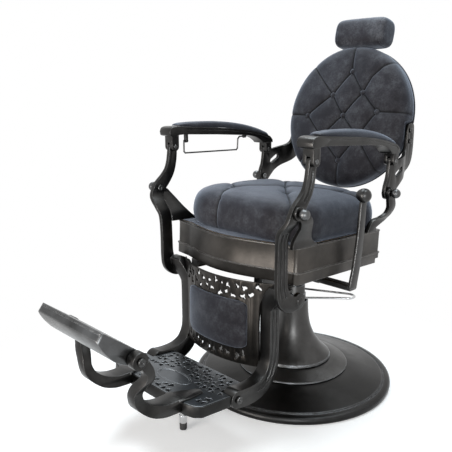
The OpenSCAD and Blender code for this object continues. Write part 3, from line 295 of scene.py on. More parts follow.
# %% Shared effect: cloudy patches
cloudy, g_in, g_out = new_group("cloudy", [("Large", FLOAT, 9.0), ("Small", FLOAT, 55.0),
                                           ("Stretch", VECTOR, (1, 1, 1))],
                                [("Cloud", FLOAT), ("Fine", FLOAT)])
pull = add(cloudy, "ShaderNodeVectorMath", {0: own_place(cloudy), 1: g_in.outputs["Stretch"]},
           operation="MULTIPLY")
for size, label, low, high in (("Large", "Cloud", 0.32, 0.68), ("Small", "Fine", 0.25, 0.75)):
    made = add(cloudy, "ShaderNodeTexNoise", {"Vector": pull, "Scale": g_in.outputs[size],
                                              "Detail": 5.0, "Roughness": 0.6})
    join(cloudy, g_out, {label: ramp(cloudy, made, low, high)})
print("shared effects:", [g.name for g in bpy.data.node_groups])

# %% [markdown]
# ## Metal finishes
# The castings have an antique pewter finish: a dark, slightly brown metal that was brushed
# by hand, so it carries faint streaks, and its edges are painted lighter, partly for rubbing and
# partly as painted highlight. One function makes all of them. Metallic is 1 throughout, so the
# colour is the colour of the reflection, and a low value such as 0.05 gives a dark metal that
# still flashes where a lamp is mirrored.

# %% Metal
def metal(name, dark, light, edge, rough, radius=0.0025, streak=(1, 1, 0.12), grain=0.12):
    """A brushed, patinated metal whose edges are painted lighter, partly for wear and partly as
    painted highlight. dark, light and edge are the greys of its patches and of such an edge, each
    with its warmth."""
    made = bpy.data.materials.new(name)
    tree = emptied(made)
    wear_and_shine = use(tree, edge_wear_and_shine, Radius=radius)
    patch = use(tree, cloudy, Large=9.0)
    brush = use(tree, cloudy, Small=420.0, Stretch=streak)
    body = mix_colour(tree, patch.outputs["Cloud"], grey(*dark), grey(*light))
    # edges painted lighter: partly wear, partly painted highlight
    body = mix_colour(tree, wear_and_shine.outputs["Edge"], body, grey(*edge))
    shine = times(tree, patch.outputs["Fine"], brush.outputs["Fine"])
    bump = add(tree, "ShaderNodeBump", {"Height": brush.outputs["Fine"], "Distance": 0.0004,
                                        "Strength": grain, "Normal": wear_and_shine.outputs["Normal"]})
    surfaced(tree, {"Base Color": body, "Metallic": 1.0, "Roughness": ramp(tree, shine, to=rough),
                    "Normal": bump})
    return made


pewter = metal("antique pewter", (0.022, 0.02), (0.050, 0.03), (0.17, 0.0), (0.3, 0.44), 0.0018)
panel_metal = metal("pierced pewter", (0.022, 0.07), (0.050, 0.09), (0.12, 0.03), (0.32, 0.46),
                    0.0010)
# the seat frame's edges are painted lightest: painted highlight along its beads, partly rubbing
pewter_light = metal("rubbed pewter with painted highlight", (0.026, 0.07), (0.064, 0.09), (0.34, 0.03), (0.32, 0.48))
# the plate is painted dark: painted shade on the floor of the web's gaps
plate_metal = metal("cast plate", (0.012, 0.02), (0.030, 0.02), (0.16, -0.02), (0.34, 0.5),
                    0.0016)
# the web is painted lighter and bluer: painted light on its tops, partly rubbing
web_metal = metal("rubbed web painted light", (0.080, -0.09), (0.150, -0.09), (0.60, -0.06), (0.28, 0.42),
                  0.0013)
# a lighter copy of pewter for the flap: painted light on its lit top and tip, partly rubbing
flap_metal = metal("worn pewter painted light", (0.045, 0.0), (0.125, -0.02), (0.42, 0.0), (0.28, 0.42))
# the base's wide, pale blue edges are painted highlight for the crescents of light on its rims,
# partly wear
gunmetal = metal("gunmetal", (0.042, 0.03), (0.085, 0.02), (0.55, -0.06), (0.34, 0.46), 0.005,
                 streak=(1, 1, 0.05), grain=0.08)
# the disc's wide edges are likewise painted highlight for the crescent of light on its rim, partly
# wear
disc_metal = metal("dark gunmetal", (0.016, 0.03), (0.028, 0.02), (0.30, -0.05), (0.28, 0.4),
                   0.006)
dark_steel = metal("blackened steel", (0.045, 0.0), (0.075, 0.02), (0.3, 0.0), (0.3, 0.45))
ball_steel = metal("rubbed steel", (0.07, 0.0), (0.13, -0.02), (0.35, 0.0), (0.3, 0.45))
chrome = metal("polished steel", (0.52, -0.01), (0.66, -0.01), (0.75, 0.0), (0.1, 0.22), 0.001,
               grain=0.03)
print("metals:", [m.name for m in bpy.data.materials if m != floor_paint])

# %% [markdown]
# ## Leather
# The covers are a napped, distressed leather: matt, nearly black with a blue cast, and
# paler where the nap was rubbed. The grain is a bump of small cells with fine pores over
# it, and a sheen adds the pale bloom that short fibres show at a low angle.

# %% Leather, rubber and wood
def leather(name, dark, light, rubbed):
    """Napped leather with cloudy wear, and painted shade where its surface lies in a fold."""
    made = bpy.data.materials.new(name)
    tree = emptied(made)
    patch = use(tree, cloudy, Large=11.0, Small=170.0)
    spots = use(tree, cloudy, Large=38.0, Small=700.0)
    base = mix_colour(tree, patch.outputs["Cloud"], dark, light)
    rub = times(tree, times(tree, patch.outputs["Cloud"], spots.outputs["Cloud"]),
                patch.outputs["Fine"])
    base = mix_colour(tree, ramp(tree, rub, 0.03, 0.4), base, rubbed)
    # painted shade: creases and button wells turn near black and lose their sheen, read from a
    # value stored with each point
    fold_shade = add(tree, "ShaderNodeAttribute", attribute_name="fold_shade", attribute_type="GEOMETRY")
    base = mix_colour(tree, fold_shade.outputs["Fac"], base, grey(0.002))
    cells = add(tree, "ShaderNodeTexVoronoi", {"Vector": own_place(tree), "Scale": 420.0},
                feature="SMOOTH_F1")
    grain = add(tree, "ShaderNodeMath", {0: cells.outputs["Distance"], 1: spots.outputs["Fine"]},
                operation="ADD")
    bump = add(tree, "ShaderNodeBump", {"Height": grain, "Distance": 0.0006, "Strength": 0.3})
    surfaced(tree, {"Base Color": base, "Normal": bump,
                    "Roughness": ramp(tree, patch.outputs["Fine"], to=(0.55, 0.7)),
                    "Sheen Weight": ramp(tree, fold_shade.outputs["Fac"], to=(0.5, 0.0)),
                    "Sheen Roughness": 0.45, "Sheen Tint": (0.72, 0.82, 1.0, 1),
                    "Specular IOR Level": 0.14})
    return made


def matt(name, dark, light, scale, rough):
    """A matt solid with a fine two-tone grain."""
    made = bpy.data.materials.new(name)
    tree = emptied(made)
    patch = use(tree, cloudy, Large=scale, Small=scale * 12)
    bump = add(tree, "ShaderNodeBump", {"Height": patch.outputs["Fine"], "Distance": 0.0003,
                                        "Strength": 0.5})
    surfaced(tree, {"Base Color": mix_colour(tree, patch.outputs["Cloud"], dark, light),
                    "Roughness": rough, "Normal": bump})
    return made


hide = leather("napped leather", (0.0085, 0.0070, 0.0088, 1), (0.017, 0.015, 0.0185, 1),
               (0.046, 0.047, 0.053, 1))
# a lighter copy of the leather for the headrest: painted light for the light it catches, partly
# the extra rubbing a headrest gets
hide_painted_light = leather("handled leather painted light", (0.015, 0.0135, 0.0165, 1), (0.032, 0.030, 0.036, 1),
                    (0.085, 0.088, 0.098, 1))
rubber = matt("black rubber", grey(0.012), grey(0.022), 60, 0.75)
board = matt("beech board", (0.36, 0.24, 0.14, 1), (0.5, 0.36, 0.22, 1), 25, 0.6)
print("soft finishes:", [m.name for m in (hide, hide_painted_light, rubber, board)])

# %% [markdown]
# ## Rounded castings
# A CAD solid has knife edges. A real casting has none: its edges were rounded in the mould
# and again by polishing, and each shows as a fine bright line. Each casting is copied, its
# loose triangles are merged and flat ones joined, and a Bevel modifier rounds every edge
# sharper than 38 degrees. The result is applied, and stands for the CAD node.

# %% Rounding
SHARP = math.radians(38)              # an edge that turns by more than this is rounded
FLAT = math.radians(1)                # and less than this counts as flat
MERGE = 2e-6                          # distance at which two corners are one


def shade_by_angle(mesh):
    """Smooth faces, with sharp edges where the surface turns by more than SHARP."""
    mesh.shade_smooth()
    mesh.set_sharp_from_angle(angle=SHARP)


def rounded(name, width, material, data=None):
    """A copy of a CAD node, or another mesh for it, with rounded edges, which stands for it."""
    work = bmesh.new()
    work.from_mesh(data or nodes[name].data)
    bmesh.ops.remove_doubles(work, verts=work.verts, dist=MERGE)
    bmesh.ops.dissolve_limit(work, angle_limit=FLAT, verts=work.verts, edges=work.edges)
    mesh = bpy.data.meshes.new(name + ".cast")
    work.to_mesh(mesh)
    work.free()
    piece = placed(name + ".cast", mesh)
    bevel = piece.modifiers.new("round edges", "BEVEL")
    bevel.width, bevel.segments, bevel.limit_method = width, 2, "ANGLE"
    bevel.angle_limit = SHARP
    bevel.use_clamp_overlap = True
    bevel.miter_outer = "MITER_ARC"
    apply_modifiers(piece)
    shade_by_angle(piece.data)
    piece.data.materials.clear()
    piece.data.materials.append(material)
    stand_in(piece, name)
    return piece


def apply_modifiers(piece):
    """Turns the evaluated piece into its own plain mesh."""
    depsgraph = bpy.context.evaluated_depsgraph_get()
    made = bpy.data.meshes.new_from_object(piece.evaluated_get(depsgraph))
    piece.modifiers.clear()
    piece.data = made


def stand_in(piece, name):
    """piece rides on the body of a CAD node and stands for it."""
    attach(piece, nodes[name]["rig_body"])
    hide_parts(name)


# %% Points and curves
def stacked(*parts):
    """Points whose coordinates come from two or three arrays that fit together."""
    return np.stack(np.broadcast_arrays(*parts), -1)


def turns(count):
    """Angles spread evenly round a circle."""
    return np.linspace(0, math.tau, count, endpoint=False)


def unit_circle(count):
    """Points spread evenly round a circle of radius 1."""
    return stacked(np.cos(turns(count)), np.sin(turns(count)))


def spread(*spans):
    """Even steps over one span after another, each as (start, end, count)."""
    return np.concatenate([np.linspace(*span) for span in spans])


def tipped(points, turn):
    """Points turned about the X axis: what stands up leans back."""
    x, y, z = np.moveaxis(points, -1, 0)
    return stacked(x, y * math.cos(turn) + z * math.sin(turn),
                   -y * math.sin(turn) + z * math.cos(turn))


def softened(values, power):
    """Values from -1 to 1 raised to a power with their sign kept, which squares a circle."""
    return np.sign(values) * np.abs(values) ** power


def curve_through(keys, at):
    """Values of a smooth curve through rows of (position, values...) at given positions."""
    keys = np.asarray(keys, float)
    x = keys[:, 0]
    at = np.clip(at, x[0], x[-1])
    out = []
    for column in keys[:, 1:].T:
        slope = np.gradient(column, x)
        i = np.clip(np.searchsorted(x, at, side="right") - 1, 0, len(x) - 2)
        h = x[i + 1] - x[i]
        s = (at - x[i]) / h
        out.append((1 + 2 * s) * (1 - s) ** 2 * column[i] + s * (1 - s) ** 2 * h * slope[i]
                   + s * s * (3 - 2 * s) * column[i + 1] + s * s * (s - 1) * h * slope[i + 1])
    return np.array(out)


print("points on a circle of 4:", unit_circle(4).round(3).tolist())

# %% Castings
CASTINGS = [                          # finish, width of the rounding, and nodes
    (gunmetal, 0.0012, ["base_step", "bell_cover", "pump_body"]),
    (disc_metal, 0.0012, ["base_disc"]),
    (pewter, 0.0022, [name + side for name in (
        "front_post", "armrest", "gooseneck", "back_bracket", "front_bracket", "rear_standard")
        for side in ("_l", "_r")]),
    (pewter_light, 0.0012, ["seat_frame"]),
    (plate_metal, 0.0012, ["footplate"]),
    (flap_metal, 0.0022, ["flap"]),
    (dark_steel, 0.0015, ["recline_lever", "recline_knob", "seat_rails", "swivel_hub",
                          "head_socket", "footplate_bolts", "flap_bolts", "back_bolts"])]
for finish, width, names in CASTINGS:
    for name in names:
        piece = rounded(name, width, finish)
        print(name, "faces:", len(piece.data.polygons))

# %% [markdown]
# ## Pierced leg panel
# The bowed panel before the legs is pierced by gaps like those between crossing branches.
# Seeds are scattered over a band in rows. Each gap grows from its seed as three arms of
# random length, and stops half a branch short of the line halfway to any other seed, so
# that a branch of even width is always left between two gaps.

# %% Gaps between branches
BRANCH, PITCH, CORE = 0.0062, 0.0262, 0.0036
SCATTER = 0.28                        # how far a seed strays, in pitches
ARM_TURNS, ARM_REACH = np.array([0, 2.1, 4.1]), (0.006, 0.017)
GRAZING = 0.05                        # a ray that leans less than this to a line misses it
TURNS, rays = turns(30), unit_circle(30)
chance = np.random.default_rng(21)


def branch_gaps(level, width, depth, pitch=PITCH, branch=BRANCH, core=CORE):
    """Outlines of the gaps in one band."""
    rows = int(depth / pitch)
    seeds = np.array([((i - width / pitch / 2 + 0.3 + 0.5 * (j % 2)) * pitch,
                       level + (j + 0.5) * depth / rows - depth / 2)
                      for j in range(rows) for i in range(int(width / pitch))])
    seeds += chance.uniform(-SCATTER, SCATTER, seeds.shape) * pitch
    gaps = []
    for k, seed in enumerate(seeds):
        away = np.delete(seeds, k, axis=0) - seed
        gone = np.linalg.norm(away, axis=1)
        facing = rays @ (away / gone[:, None]).T
        room = np.where(facing > GRAZING,
                        (gone / 2 - branch / 2) / np.maximum(facing, GRAZING), 1)
        rim = (depth / 2 - np.sign(rays[:, 1]) * (seed[1] - level)) / np.maximum(
            abs(rays[:, 1]), GRAZING)
        arms = chance.uniform(0, math.tau) + ARM_TURNS + chance.uniform(-0.3, 0.3, 3)
        reach = chance.uniform(*ARM_REACH, 3)
        star = (core + (reach - core) * np.clip(np.cos(TURNS[:, None] - arms), 0, 1) ** 4).max(1)
        gaps.append(seed + rays * np.minimum(star, np.minimum(room.min(1), rim))[:, None])
    return gaps


# %% [markdown]
# The flat outline with its gaps is cut into triangles. A constrained Delaunay triangulation
# keeps every edge of the loops, and a grid of extra points keeps the triangles small, so that
# the sheet can bend. Triangles whose middle lies in a gap are left out. A sheet is then a
# front and a back layer of the same triangles, with walls along every open edge.

# %% Cutting a sheet
GRID = 0.011                          # distance between the extra points


def inside(points, loop):
    """Which points lie in a closed loop: a ray to the right crosses it an odd number of times."""
    start, end = loop, np.roll(loop, -1, axis=0)
    across, level = points[:, :1], points[:, 1:]
    spans = (start[:, 1] > level) != (end[:, 1] > level)
    rise = np.where(end[:, 1] == start[:, 1], 1, end[:, 1] - start[:, 1])
    meet = start[:, 0] + (level - start[:, 1]) * (end[:, 0] - start[:, 0]) / rise
    return (spans & (across < meet)).sum(1) % 2 == 1


def cut_out(outline, gaps):
    """Triangles that fill the outline but not its gaps."""
    low, high = outline[:, 1].min() + GRID / 2, outline[:, 1].max()
    grid = np.array([(x, z) for x in np.arange(-0.19, 0.19, GRID)
                     for z in np.arange(low, high, GRID)])
    grid = grid[inside(grid, outline * (0.985, 1))]
    for gap in gaps:
        wide = gap.mean(0) + (gap - gap.mean(0)) * 1.25
        grid = grid[~inside(grid, wide)]
    points, edges = list(grid), []
    for loop in [outline] + gaps:
        first, count = len(points), len(loop)
        points += list(loop)
        edges += [(first + k, first + (k + 1) % count) for k in range(count)]
    flat, _, faces, *_ = delaunay_2d_cdt([Vector(p) for p in points], edges, [], 1, 1e-6)
    flat = np.array(flat)
    middles = np.array([flat[list(face)].mean(0) for face in faces])
    solid = np.ones(len(faces), bool)
    for gap in gaps:
        solid &= ~inside(middles, gap)
    return flat, [face for face, keep in zip(faces, solid) if keep]


def sheet_of(faces, front, back, name):
    """A closed sheet between a front and a back layer of the same triangles."""
    sides = {(a, b) for face in faces for a, b in zip(face, face[1:] + face[:1])}
    count = len(front)
    walls = [(b, a, a + count, b + count) for a, b in sorted(sides) if (b, a) not in sides]
    mesh = bpy.data.meshes.new(name)
    mesh.from_pydata(np.concatenate([front, back]).tolist(), [],
                     [tuple(f) for f in faces]
                     + [tuple(k + count for k in f[::-1]) for f in faces] + walls)
    return mesh


# %% [markdown]
# The panel has a band of gaps along its top and one along its foot. Its side is straight
# below and sweeps out to the rails at the top. The flat sheet is wrapped on an upright
# cylinder, which gives the panel its bow.

# %% Pierced panel
PANEL_THICK, BOW_RADIUS, BOW_MIDDLE = 0.006, 0.3389, -0.0351
PANEL_SIDE = [(0.196, 0.1497), (0.366, 0.1499), (0.384, 0.1512), (0.396, 0.1548),
              (0.409, 0.1610), (0.421, 0.1686), (0.433, 0.1780), (0.446, 0.1915)]
BANDS = {0.4165: (0.290, 0.056), 0.2200: (0.270, 0.050)}   # height: (width, depth)


def bent(flat, depth):
    """Flat points wrapped on the upright cylinder, depth behind its face."""
    radius = BOW_RADIUS - depth
    return stacked(flat[:, 0], BOW_MIDDLE - np.sqrt(radius ** 2 - flat[:, 0] ** 2), flat[:, 1])


side_z = np.linspace(PANEL_SIDE[0][0], PANEL_SIDE[-1][0], 40)
side_x = curve_through(PANEL_SIDE, side_z)[0]
edge_x = np.linspace(-1, 1, 30)[1:-1]
outline = np.concatenate([stacked(side_x, side_z), stacked(-edge_x * side_x[-1], side_z[-1]),
                          stacked(-side_x, side_z)[::-1], stacked(edge_x * side_x[0], side_z[0])])
gaps = [gap for level, (width, depth) in BANDS.items()
        for gap in branch_gaps(level, width, depth)]
flat, faces = cut_out(outline, gaps)
sheet = sheet_of(faces, bent(flat, 0), bent(flat, PANEL_THICK), "pierced panel")
panel = rounded("legrest_panel", 0.0008, panel_metal, data=sheet)
print("gaps:", len(gaps), "faces:", len(panel.data.polygons))

# %% [markdown]
# ## Web of the footplate
# The top of the footplate carries the same ornament as a raised web. Its gaps come from the
# same function, laid flat on the plate, and leave a frame round the field and round the plain
# oval. The web is 1.6 mm high, and lies on the plate, so it gets the plate's tilt. The plate
# under it is painted dark, as painted shade on the floor of the gaps, and the web is painted
# lighter and bluer, partly rubbing and partly painted light on its tops.

# %% Web of the footplate
PLATE_PIVOT, PLATE_TILT, PLATE_TOP = np.array([0, -0.458, 0.157]), math.radians(6), 0.015
PLATE_PLAN = np.array([(0.146, 0.055), (-0.146, 0.055), (-0.146, -0.030), (-0.183, -0.030),
                       (-0.183, -0.127), (-0.170, -0.144), (-0.143, -0.151)])
ROOT_INNER, ROOT_OUTER, ROOT_REAR = 0.071, 0.143, -0.064      # under the curved arms' roots
OVAL_HALF, OVAL = np.array([0.062, 0.031]), np.array([0, -0.068])
WEB_HIGH, SUNK = 0.0016, 0.0005       # height over the plate, and depth in it
FIELD = (-0.047, 0.350, 0.196)        # middle, width and depth of the field of gaps
edge = np.linspace(0, 1, 12, endpoint=False)[:, None]
plan = np.concatenate([PLATE_PLAN, PLATE_PLAN[:1:-1] * (-1, 1)])
border = np.concatenate([a + (b - a) * edge for a, b in zip(plan, np.roll(plan, -1, axis=0))])
oval = OVAL + OVAL_HALF * 1.03 * rays
inner = OVAL + OVAL_HALF * 0.90 * rays
lattice = [gap for gap in branch_gaps(*FIELD, pitch=0.0205, branch=0.0040, core=0.0048)
           if np.linalg.norm((gap - OVAL) / (OVAL_HALF * 1.12), axis=1).min() > 1
           and inside(gap, border * 0.97).all()
           and not ((abs(gap[:, 0]) > ROOT_INNER) & (abs(gap[:, 0]) < ROOT_OUTER)
                    & (gap[:, 1] < ROOT_REAR)).any()]


def on_plate(flat, level):
    """Flat points at a level above the plate's top, tilted with it."""
    return tipped(stacked(*flat.T, PLATE_TOP + level), PLATE_TILT) + PLATE_PIVOT


for part, outline, holes, level in (("web", border, lattice + [oval], WEB_HIGH),
                                    ("oval_rim", oval * (0.99, 1), [inner], WEB_HIGH),
                                    ("oval", inner, [], SUNK)):
    flat, faces = cut_out(outline, holes)
    web = placed("footplate." + part, sheet_of(faces, on_plate(flat, level),
                                               on_plate(flat, -SUNK), "plate " + part))
    shade_by_angle(web.data)
    web.data.materials.append(web_metal)
    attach(web, nodes["footplate"]["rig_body"])
    print(web.name, "faces:", len(web.data.polygons))
print("web gaps:", len(lattice))

# %% [markdown]
# ## Small metal parts
# The remaining CAD parts are turned, drawn or bent, with no cast edges to round. They keep
# their own meshes and only get a finish.

# %% Turned parts
for finish, names in ((ball_steel, ["pivot_pins", "arm_pins_l", "arm_pins_r"]),
                      (chrome, ["pump_lever", "lift_ram", "head_stem", "prop_leg"]),
                      (dark_steel, ["towel_bar"]), (board, ["seat_board"])):
    for name in names:
        nodes[name].data.materials.clear()
        nodes[name].data.materials.append(finish)
    print(finish.name, "for", names)

# %% [markdown]
# ## Tools for upholstery
# A cushion is lofted: closed rings of points, one inside the next, from the middle of its
# face over the rim to its back. The tufting is then pressed in. Each point is pushed down by
# how near it is to a button, which makes a soft well, and to a seam, which makes a crease
# with a puff on each side. The wells and creases also get painted shade, stored with the points.

# %% Loft
def smooth_piece(name, points, faces, material):
    """A smooth closed piece whose faces all look outwards."""
    mesh = bpy.data.meshes.new(name)
    mesh.from_pydata(points.tolist(), [], faces)
    work = bmesh.new()
    work.from_mesh(mesh)
    bmesh.ops.recalc_face_normals(work, faces=work.faces)
    if work.calc_volume(signed=True) < 0:
        bmesh.ops.reverse_faces(work, faces=work.faces)
    work.to_mesh(mesh)
    work.free()
    mesh.shade_smooth()
    mesh.materials.append(material)
    return placed(name, mesh)


def bands(rows, count, around):
    """Four-sided faces of rows bands of points, each band between two of count rings."""
    return [(i * around + j, i * around + (j + 1) % around,
             (i + 1) % count * around + (j + 1) % around, (i + 1) % count * around + j)
            for i in range(rows) for j in range(around)]


def loft(name, rings, material, fold_shades=None):
    """A closed mesh through rings of points, with a fan at each end. The last argument is how
    much painted shade each point gets in a crease or a button's well, from 0 to 1, which the
    leather's colour reads."""
    rings = np.asarray(rings)
    count, around = rings.shape[:2]
    points = np.concatenate([rings.reshape(-1, 3), [rings[0].mean(0)], [rings[-1].mean(0)]])
    faces = bands(count - 1, count, around)
    for j in range(around):
        k, last = (j + 1) % around, (count - 1) * around
        faces += [(count * around, k, j), (count * around + 1, last + j, last + k)]
    piece = smooth_piece(name, points, faces, material)
    if fold_shades is not None:
        stored = piece.data.attributes.new("fold_shade", "FLOAT", "POINT")
        stored.data.foreach_set("value", np.append(np.ravel(fold_shades), [0, 0]).astype(np.float32))
    return piece


def cover(name, rings, fold_shades=None, material=hide):
    """A lofted leather cover that stands for a CAD cushion."""
    piece = loft(name + ".cover", rings, material, fold_shades)
    stand_in(piece, name)
    print(piece.name, "faces:", len(piece.data.polygons), "top:", round(rings[..., 2].max(), 3))


# %% Tufting
WELL_WIDE, CREASE_WIDE, PUFF_WIDE = 0.015, 0.0030, 0.015
DARK_SEAM, DARK_WELL = (0.85, 0.0033), (0.75, 0.0125)      # how dark the painted shade is along a seam and round a button, and how wide


def seam_distance(points, buttons, seams):
    """Distance from each point to the nearest seam. A seam is straight, and each of its ends
    is a point or the number of a button."""
    best = np.full(points.shape[:-1], 9.0)
    for ends in seams:
        a, b = (np.array(buttons[end] if isinstance(end, int) else end) for end in ends)
        share = np.clip(((points - a) @ (b - a)) / ((b - a) @ (b - a)), 0, 1)
        gap = np.linalg.norm(points - a - share[..., None] * (b - a), axis=-1)
        best = np.minimum(best, gap)
    return best


def pressed(points, buttons, seams, well, crease, puff):
    """Depth of the tufting: a well at each button, a narrow crease and a wide puff at a seam.
    The second result is the painted shade in the creases and wells."""
    near = np.min([np.linalg.norm(points - np.asarray(b), axis=-1) for b in buttons], axis=0)
    along = seam_distance(points, buttons, seams)
    depth = (well * np.exp(-(near / WELL_WIDE) ** 1.4)
             + crease * np.exp(-(along / CREASE_WIDE) ** 1.4) + puff * np.exp(-along / PUFF_WIDE))
    # painted shade along each seam and round each button
    dark = np.maximum(DARK_SEAM[0] * np.exp(-(along / DARK_SEAM[1]) ** 2),
                      DARK_WELL[0] * np.exp(-(near / DARK_WELL[1]) ** 4))
    return depth, dark


def tufted(outline, middle, rim, steps, buttons, seams, **press):
    """Plan, level, dip and painted crease shade of a cushion, with a ring of points at each step.
    """
    scale, level = curve_through(rim, steps)
    on_face = outline * np.minimum(steps, 0.97)[:, None, None] + middle
    dip, dark = pressed(on_face, buttons, seams, **press)
    return outline * scale[:, None, None], level[:, None], dip, dark


# %% [markdown]
# ## Seat cushion
# The seat is a deep pillow that bulges over its frame. In plan its rings are rectangles with
# round corners, and its height follows one smooth profile from the crown over the rim to the
# frame. Creases run from button to button and on over the rim as pleats.

# %% Seat cushion
RAKE, RAKE_EDGE = math.radians(2.5), np.array([0, -0.300, 0.452])
SEAT_MIDDLE = np.array([0.0, -0.085])
SEAT_HALF = np.array([0.238, 0.223])
SEAT_CORNERS = (0.122, 0.100)         # front and rear
SEAT_FOOT = 0.5553
SEAT_RIM = [(0.0, 0.0, 0.127), (0.3, 0.3, 0.1265), (0.5, 0.5, 0.125), (0.7, 0.7, 0.120),
            (0.83, 0.83, 0.112), (0.92, 0.915, 0.101), (0.98, 0.958, 0.089), (1.05, 0.985, 0.072),
            (1.12, 0.998, 0.054), (1.19, 1.0, 0.037), (1.26, 0.99, 0.021), (1.32, 0.972, 0.009),
            (1.38, 0.945, 0.001), (1.44, 0.92, 0.0), (1.7, 0.6, 0.0), (2.2, 0.02, 0.0)]
SEAT_BUTTONS = [(0.005, -0.075), (-0.088, -0.203), (0.088, -0.168), (0.150, 0.008),
                (-0.095, 0.050)]
SEAT_SEAMS = [(0, 1), (0, 2), (0, 3), (0, 4), (1, (-0.078, -0.262)),
              ((-0.078, -0.262), (-0.064, -0.300)), ((-0.064, -0.300), (-0.064, -0.400)),
              (1, (-0.40, 0.04)), (2, (0.27, -0.348)), (3, (0.40, 0.06)), (3, (0.12, 0.30)),
              (4, (-0.30, 0.20)), (4, (-0.05, 0.30))]


def squared_ring(half, corners, ray):
    """Points of a rectangle with rounded corners, one on each ray from its middle."""
    size, corner = abs(ray), np.where(ray[:, 1:] < 0, *corners)
    centre = half - corner
    straight = (half / np.maximum(size, 1e-6)).min(1)
    along = (centre * size).sum(1)
    under = along ** 2 - ((centre ** 2).sum(1) - corner[:, 0] ** 2)
    arc = along + np.sqrt(np.maximum(under, 0))
    in_corner = (straight[:, None] * size > centre).all(1) & (under >= 0)
    return ray * np.where(in_corner, arc, straight)[:, None]


def raked(points, turn=RAKE):
    """Tips points with the seat, which leans back about its frame's lower front edge."""
    return tipped(points - RAKE_EDGE, turn) + RAKE_EDGE


spokes = unit_circle(480)
steps = spread((0.02, 0.9, 110), (0.910, 1.38, 62), (1.45, 2.2, 8))
plan, level, dip, dark = tufted(
    squared_ring(SEAT_HALF, SEAT_CORNERS, spokes), SEAT_MIDDLE, SEAT_RIM, steps, SEAT_BUTTONS,
    SEAT_SEAMS, well=0.012, crease=0.004, puff=0.007)
over = np.clip((steps - 0.75) / 0.25, 0, 1)[:, None]       # from the face to the side
fade_out = np.clip((1.42 - steps) / 0.25, 0, 1)[:, None]   # and out again at the foot
side_share = over * over * (3 - 2 * over)
shrink = 1 - side_share * fade_out * dip * 0.75 / 0.235
seat = stacked(plan[..., 0] * shrink + SEAT_MIDDLE[0], plan[..., 1] * shrink + SEAT_MIDDLE[1],
               SEAT_FOOT + level - dip * (1 - side_share))
cover("seat_cushion", raked(seat), dark * fade_out)

# %% [markdown]
# The board under the cushion is covered too. Its outline is read from the CAD board: the
# points of its top face, put in order by their angle, make a ring that is lofted into a thin
# leather sheet with a soft edge.

# %% Board cover
corners = np.array([v.co for v in nodes["seat_board"].data.vertices])
flat = raked(corners, -RAKE)
top = flat[:, 2].max()
brim = np.unique(np.round(flat[flat[:, 2] > top - 0.0005][:, :2], 6), axis=0)
middle = np.array([0.0, -0.09])
brim = brim[np.argsort(np.arctan2(*(brim - middle).T[::-1]))]
rings = [stacked(*((brim - middle) * share + middle).T, top + rise)
         for share, rise in [(0.02, 0.0023), (0.6, 0.0023), (0.96, 0.0023), (0.985, 0.002),
                             (0.996, 0.0013), (0.998, 0.0004), (0.98, 0.0002), (0.5, 0.0002),
                             (0.02, 0.0002)]]
board_cover = loft("board_cover", raked(np.array(rings)), hide)
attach(board_cover, "seat")
print("board outline:", len(brim), "points")

# %% [markdown]
# ## Backrest
# The back is a round, deep-buttoned cushion on a curved board. Its creases follow a diamond
# lattice, and the outermost ones run on to the rim, which swells between them. The loft is
# made flat and then leaned back about the middle of its face.

# %% Back cushion
LEAN = math.radians(12.8)
BACK_MIDDLE = np.array([0.0, 0.240, 0.874])
BACK_HALF = np.array([0.235, 0.240])
BACK_BUTTONS = [(0.016, 0.148), (-0.043, 0.068), (0.073, 0.077), (-0.140, -0.004),
                (0.013, -0.001), (0.136, 0.016), (-0.062, -0.078), (0.082, -0.070),
                (0.017, -0.153)]
BACK_SEAMS = [(0, 1), (0, 2), (1, 3), (1, 4), (2, 4), (2, 5), (3, 6), (4, 6), (4, 7), (5, 7),
              (6, 8), (7, 8), (0, (0.0, 0.26)), (1, (-0.170, 0.186)), (2, (0.096, 0.130)),
              ((0.096, 0.130), (0.126, 0.164)), ((0.126, 0.164), (0.176, 0.192)),
              (3, (-0.27, 0.0)), (5, (0.27, 0.018)), (6, (-0.17, -0.19)), (7, (0.17, -0.19)),
              (8, (0.018, -0.27))]
BACK_RIM = [(0.0, 0.0, -0.026), (0.3, 0.3, -0.024), (0.6, 0.6, -0.018), (0.78, 0.78, -0.0125),
            (0.88, 0.885, -0.0075), (0.95, 0.95, 0.0), (1.0, 0.98, 0.008), (1.05, 0.996, 0.018),
            (1.12, 1.0, 0.032), (1.19, 0.998, 0.046), (1.24, 0.985, 0.0565), (1.5, 0.6, 0.0565),
            (1.8, 0.02, 0.0565)]
LEG_FACE = 0.2262                     # inner face of the brackets' legs
LEG_Y, LEG_Z = (0.252, 0.300), (0.740, 0.859)              # where the legs lie beside the back


def leaned(points):
    """Turns points of the backrest's own frame (x, depth behind its face, height) into place."""
    return tipped(points, LEAN) + BACK_MIDDLE


def let_in(points):
    """Presses leather in beside the legs of the brackets, softly at their borders."""
    out = points.copy()
    away = np.maximum(np.maximum(LEG_Y[0] - out[..., 1], out[..., 1] - LEG_Y[1]),
                      np.maximum(LEG_Z[0] - out[..., 2], out[..., 2] - LEG_Z[1]))
    limit = LEG_FACE - 0.0008 + np.clip(away, 0, 1) * 1.1
    out[..., 0] = np.clip(out[..., 0], -limit, limit)
    return out


steps = spread((0.012, 0.86, 130), (0.867, 1.235, 46), (1.25, 1.8, 6))
circle = spokes * BACK_HALF
flat, depth, dip, dark = tufted(circle, 0, BACK_RIM, steps, BACK_BUTTONS, BACK_SEAMS,
                                well=0.004, crease=0.0035, puff=0.0045)
over = np.clip((steps - 0.86) / 0.2, 0, 1)[:, None]
fade_out = np.clip((1.2 - steps) / 0.12, 0, 1)[:, None]
shrink = 1 - over * fade_out * dip * 0.35 / 0.228
back = stacked(flat[..., 0] * shrink, depth + dip * (1 - over), flat[..., 1] * shrink)
cover("back_cushion", let_in(leaned(back)), dark * fade_out)

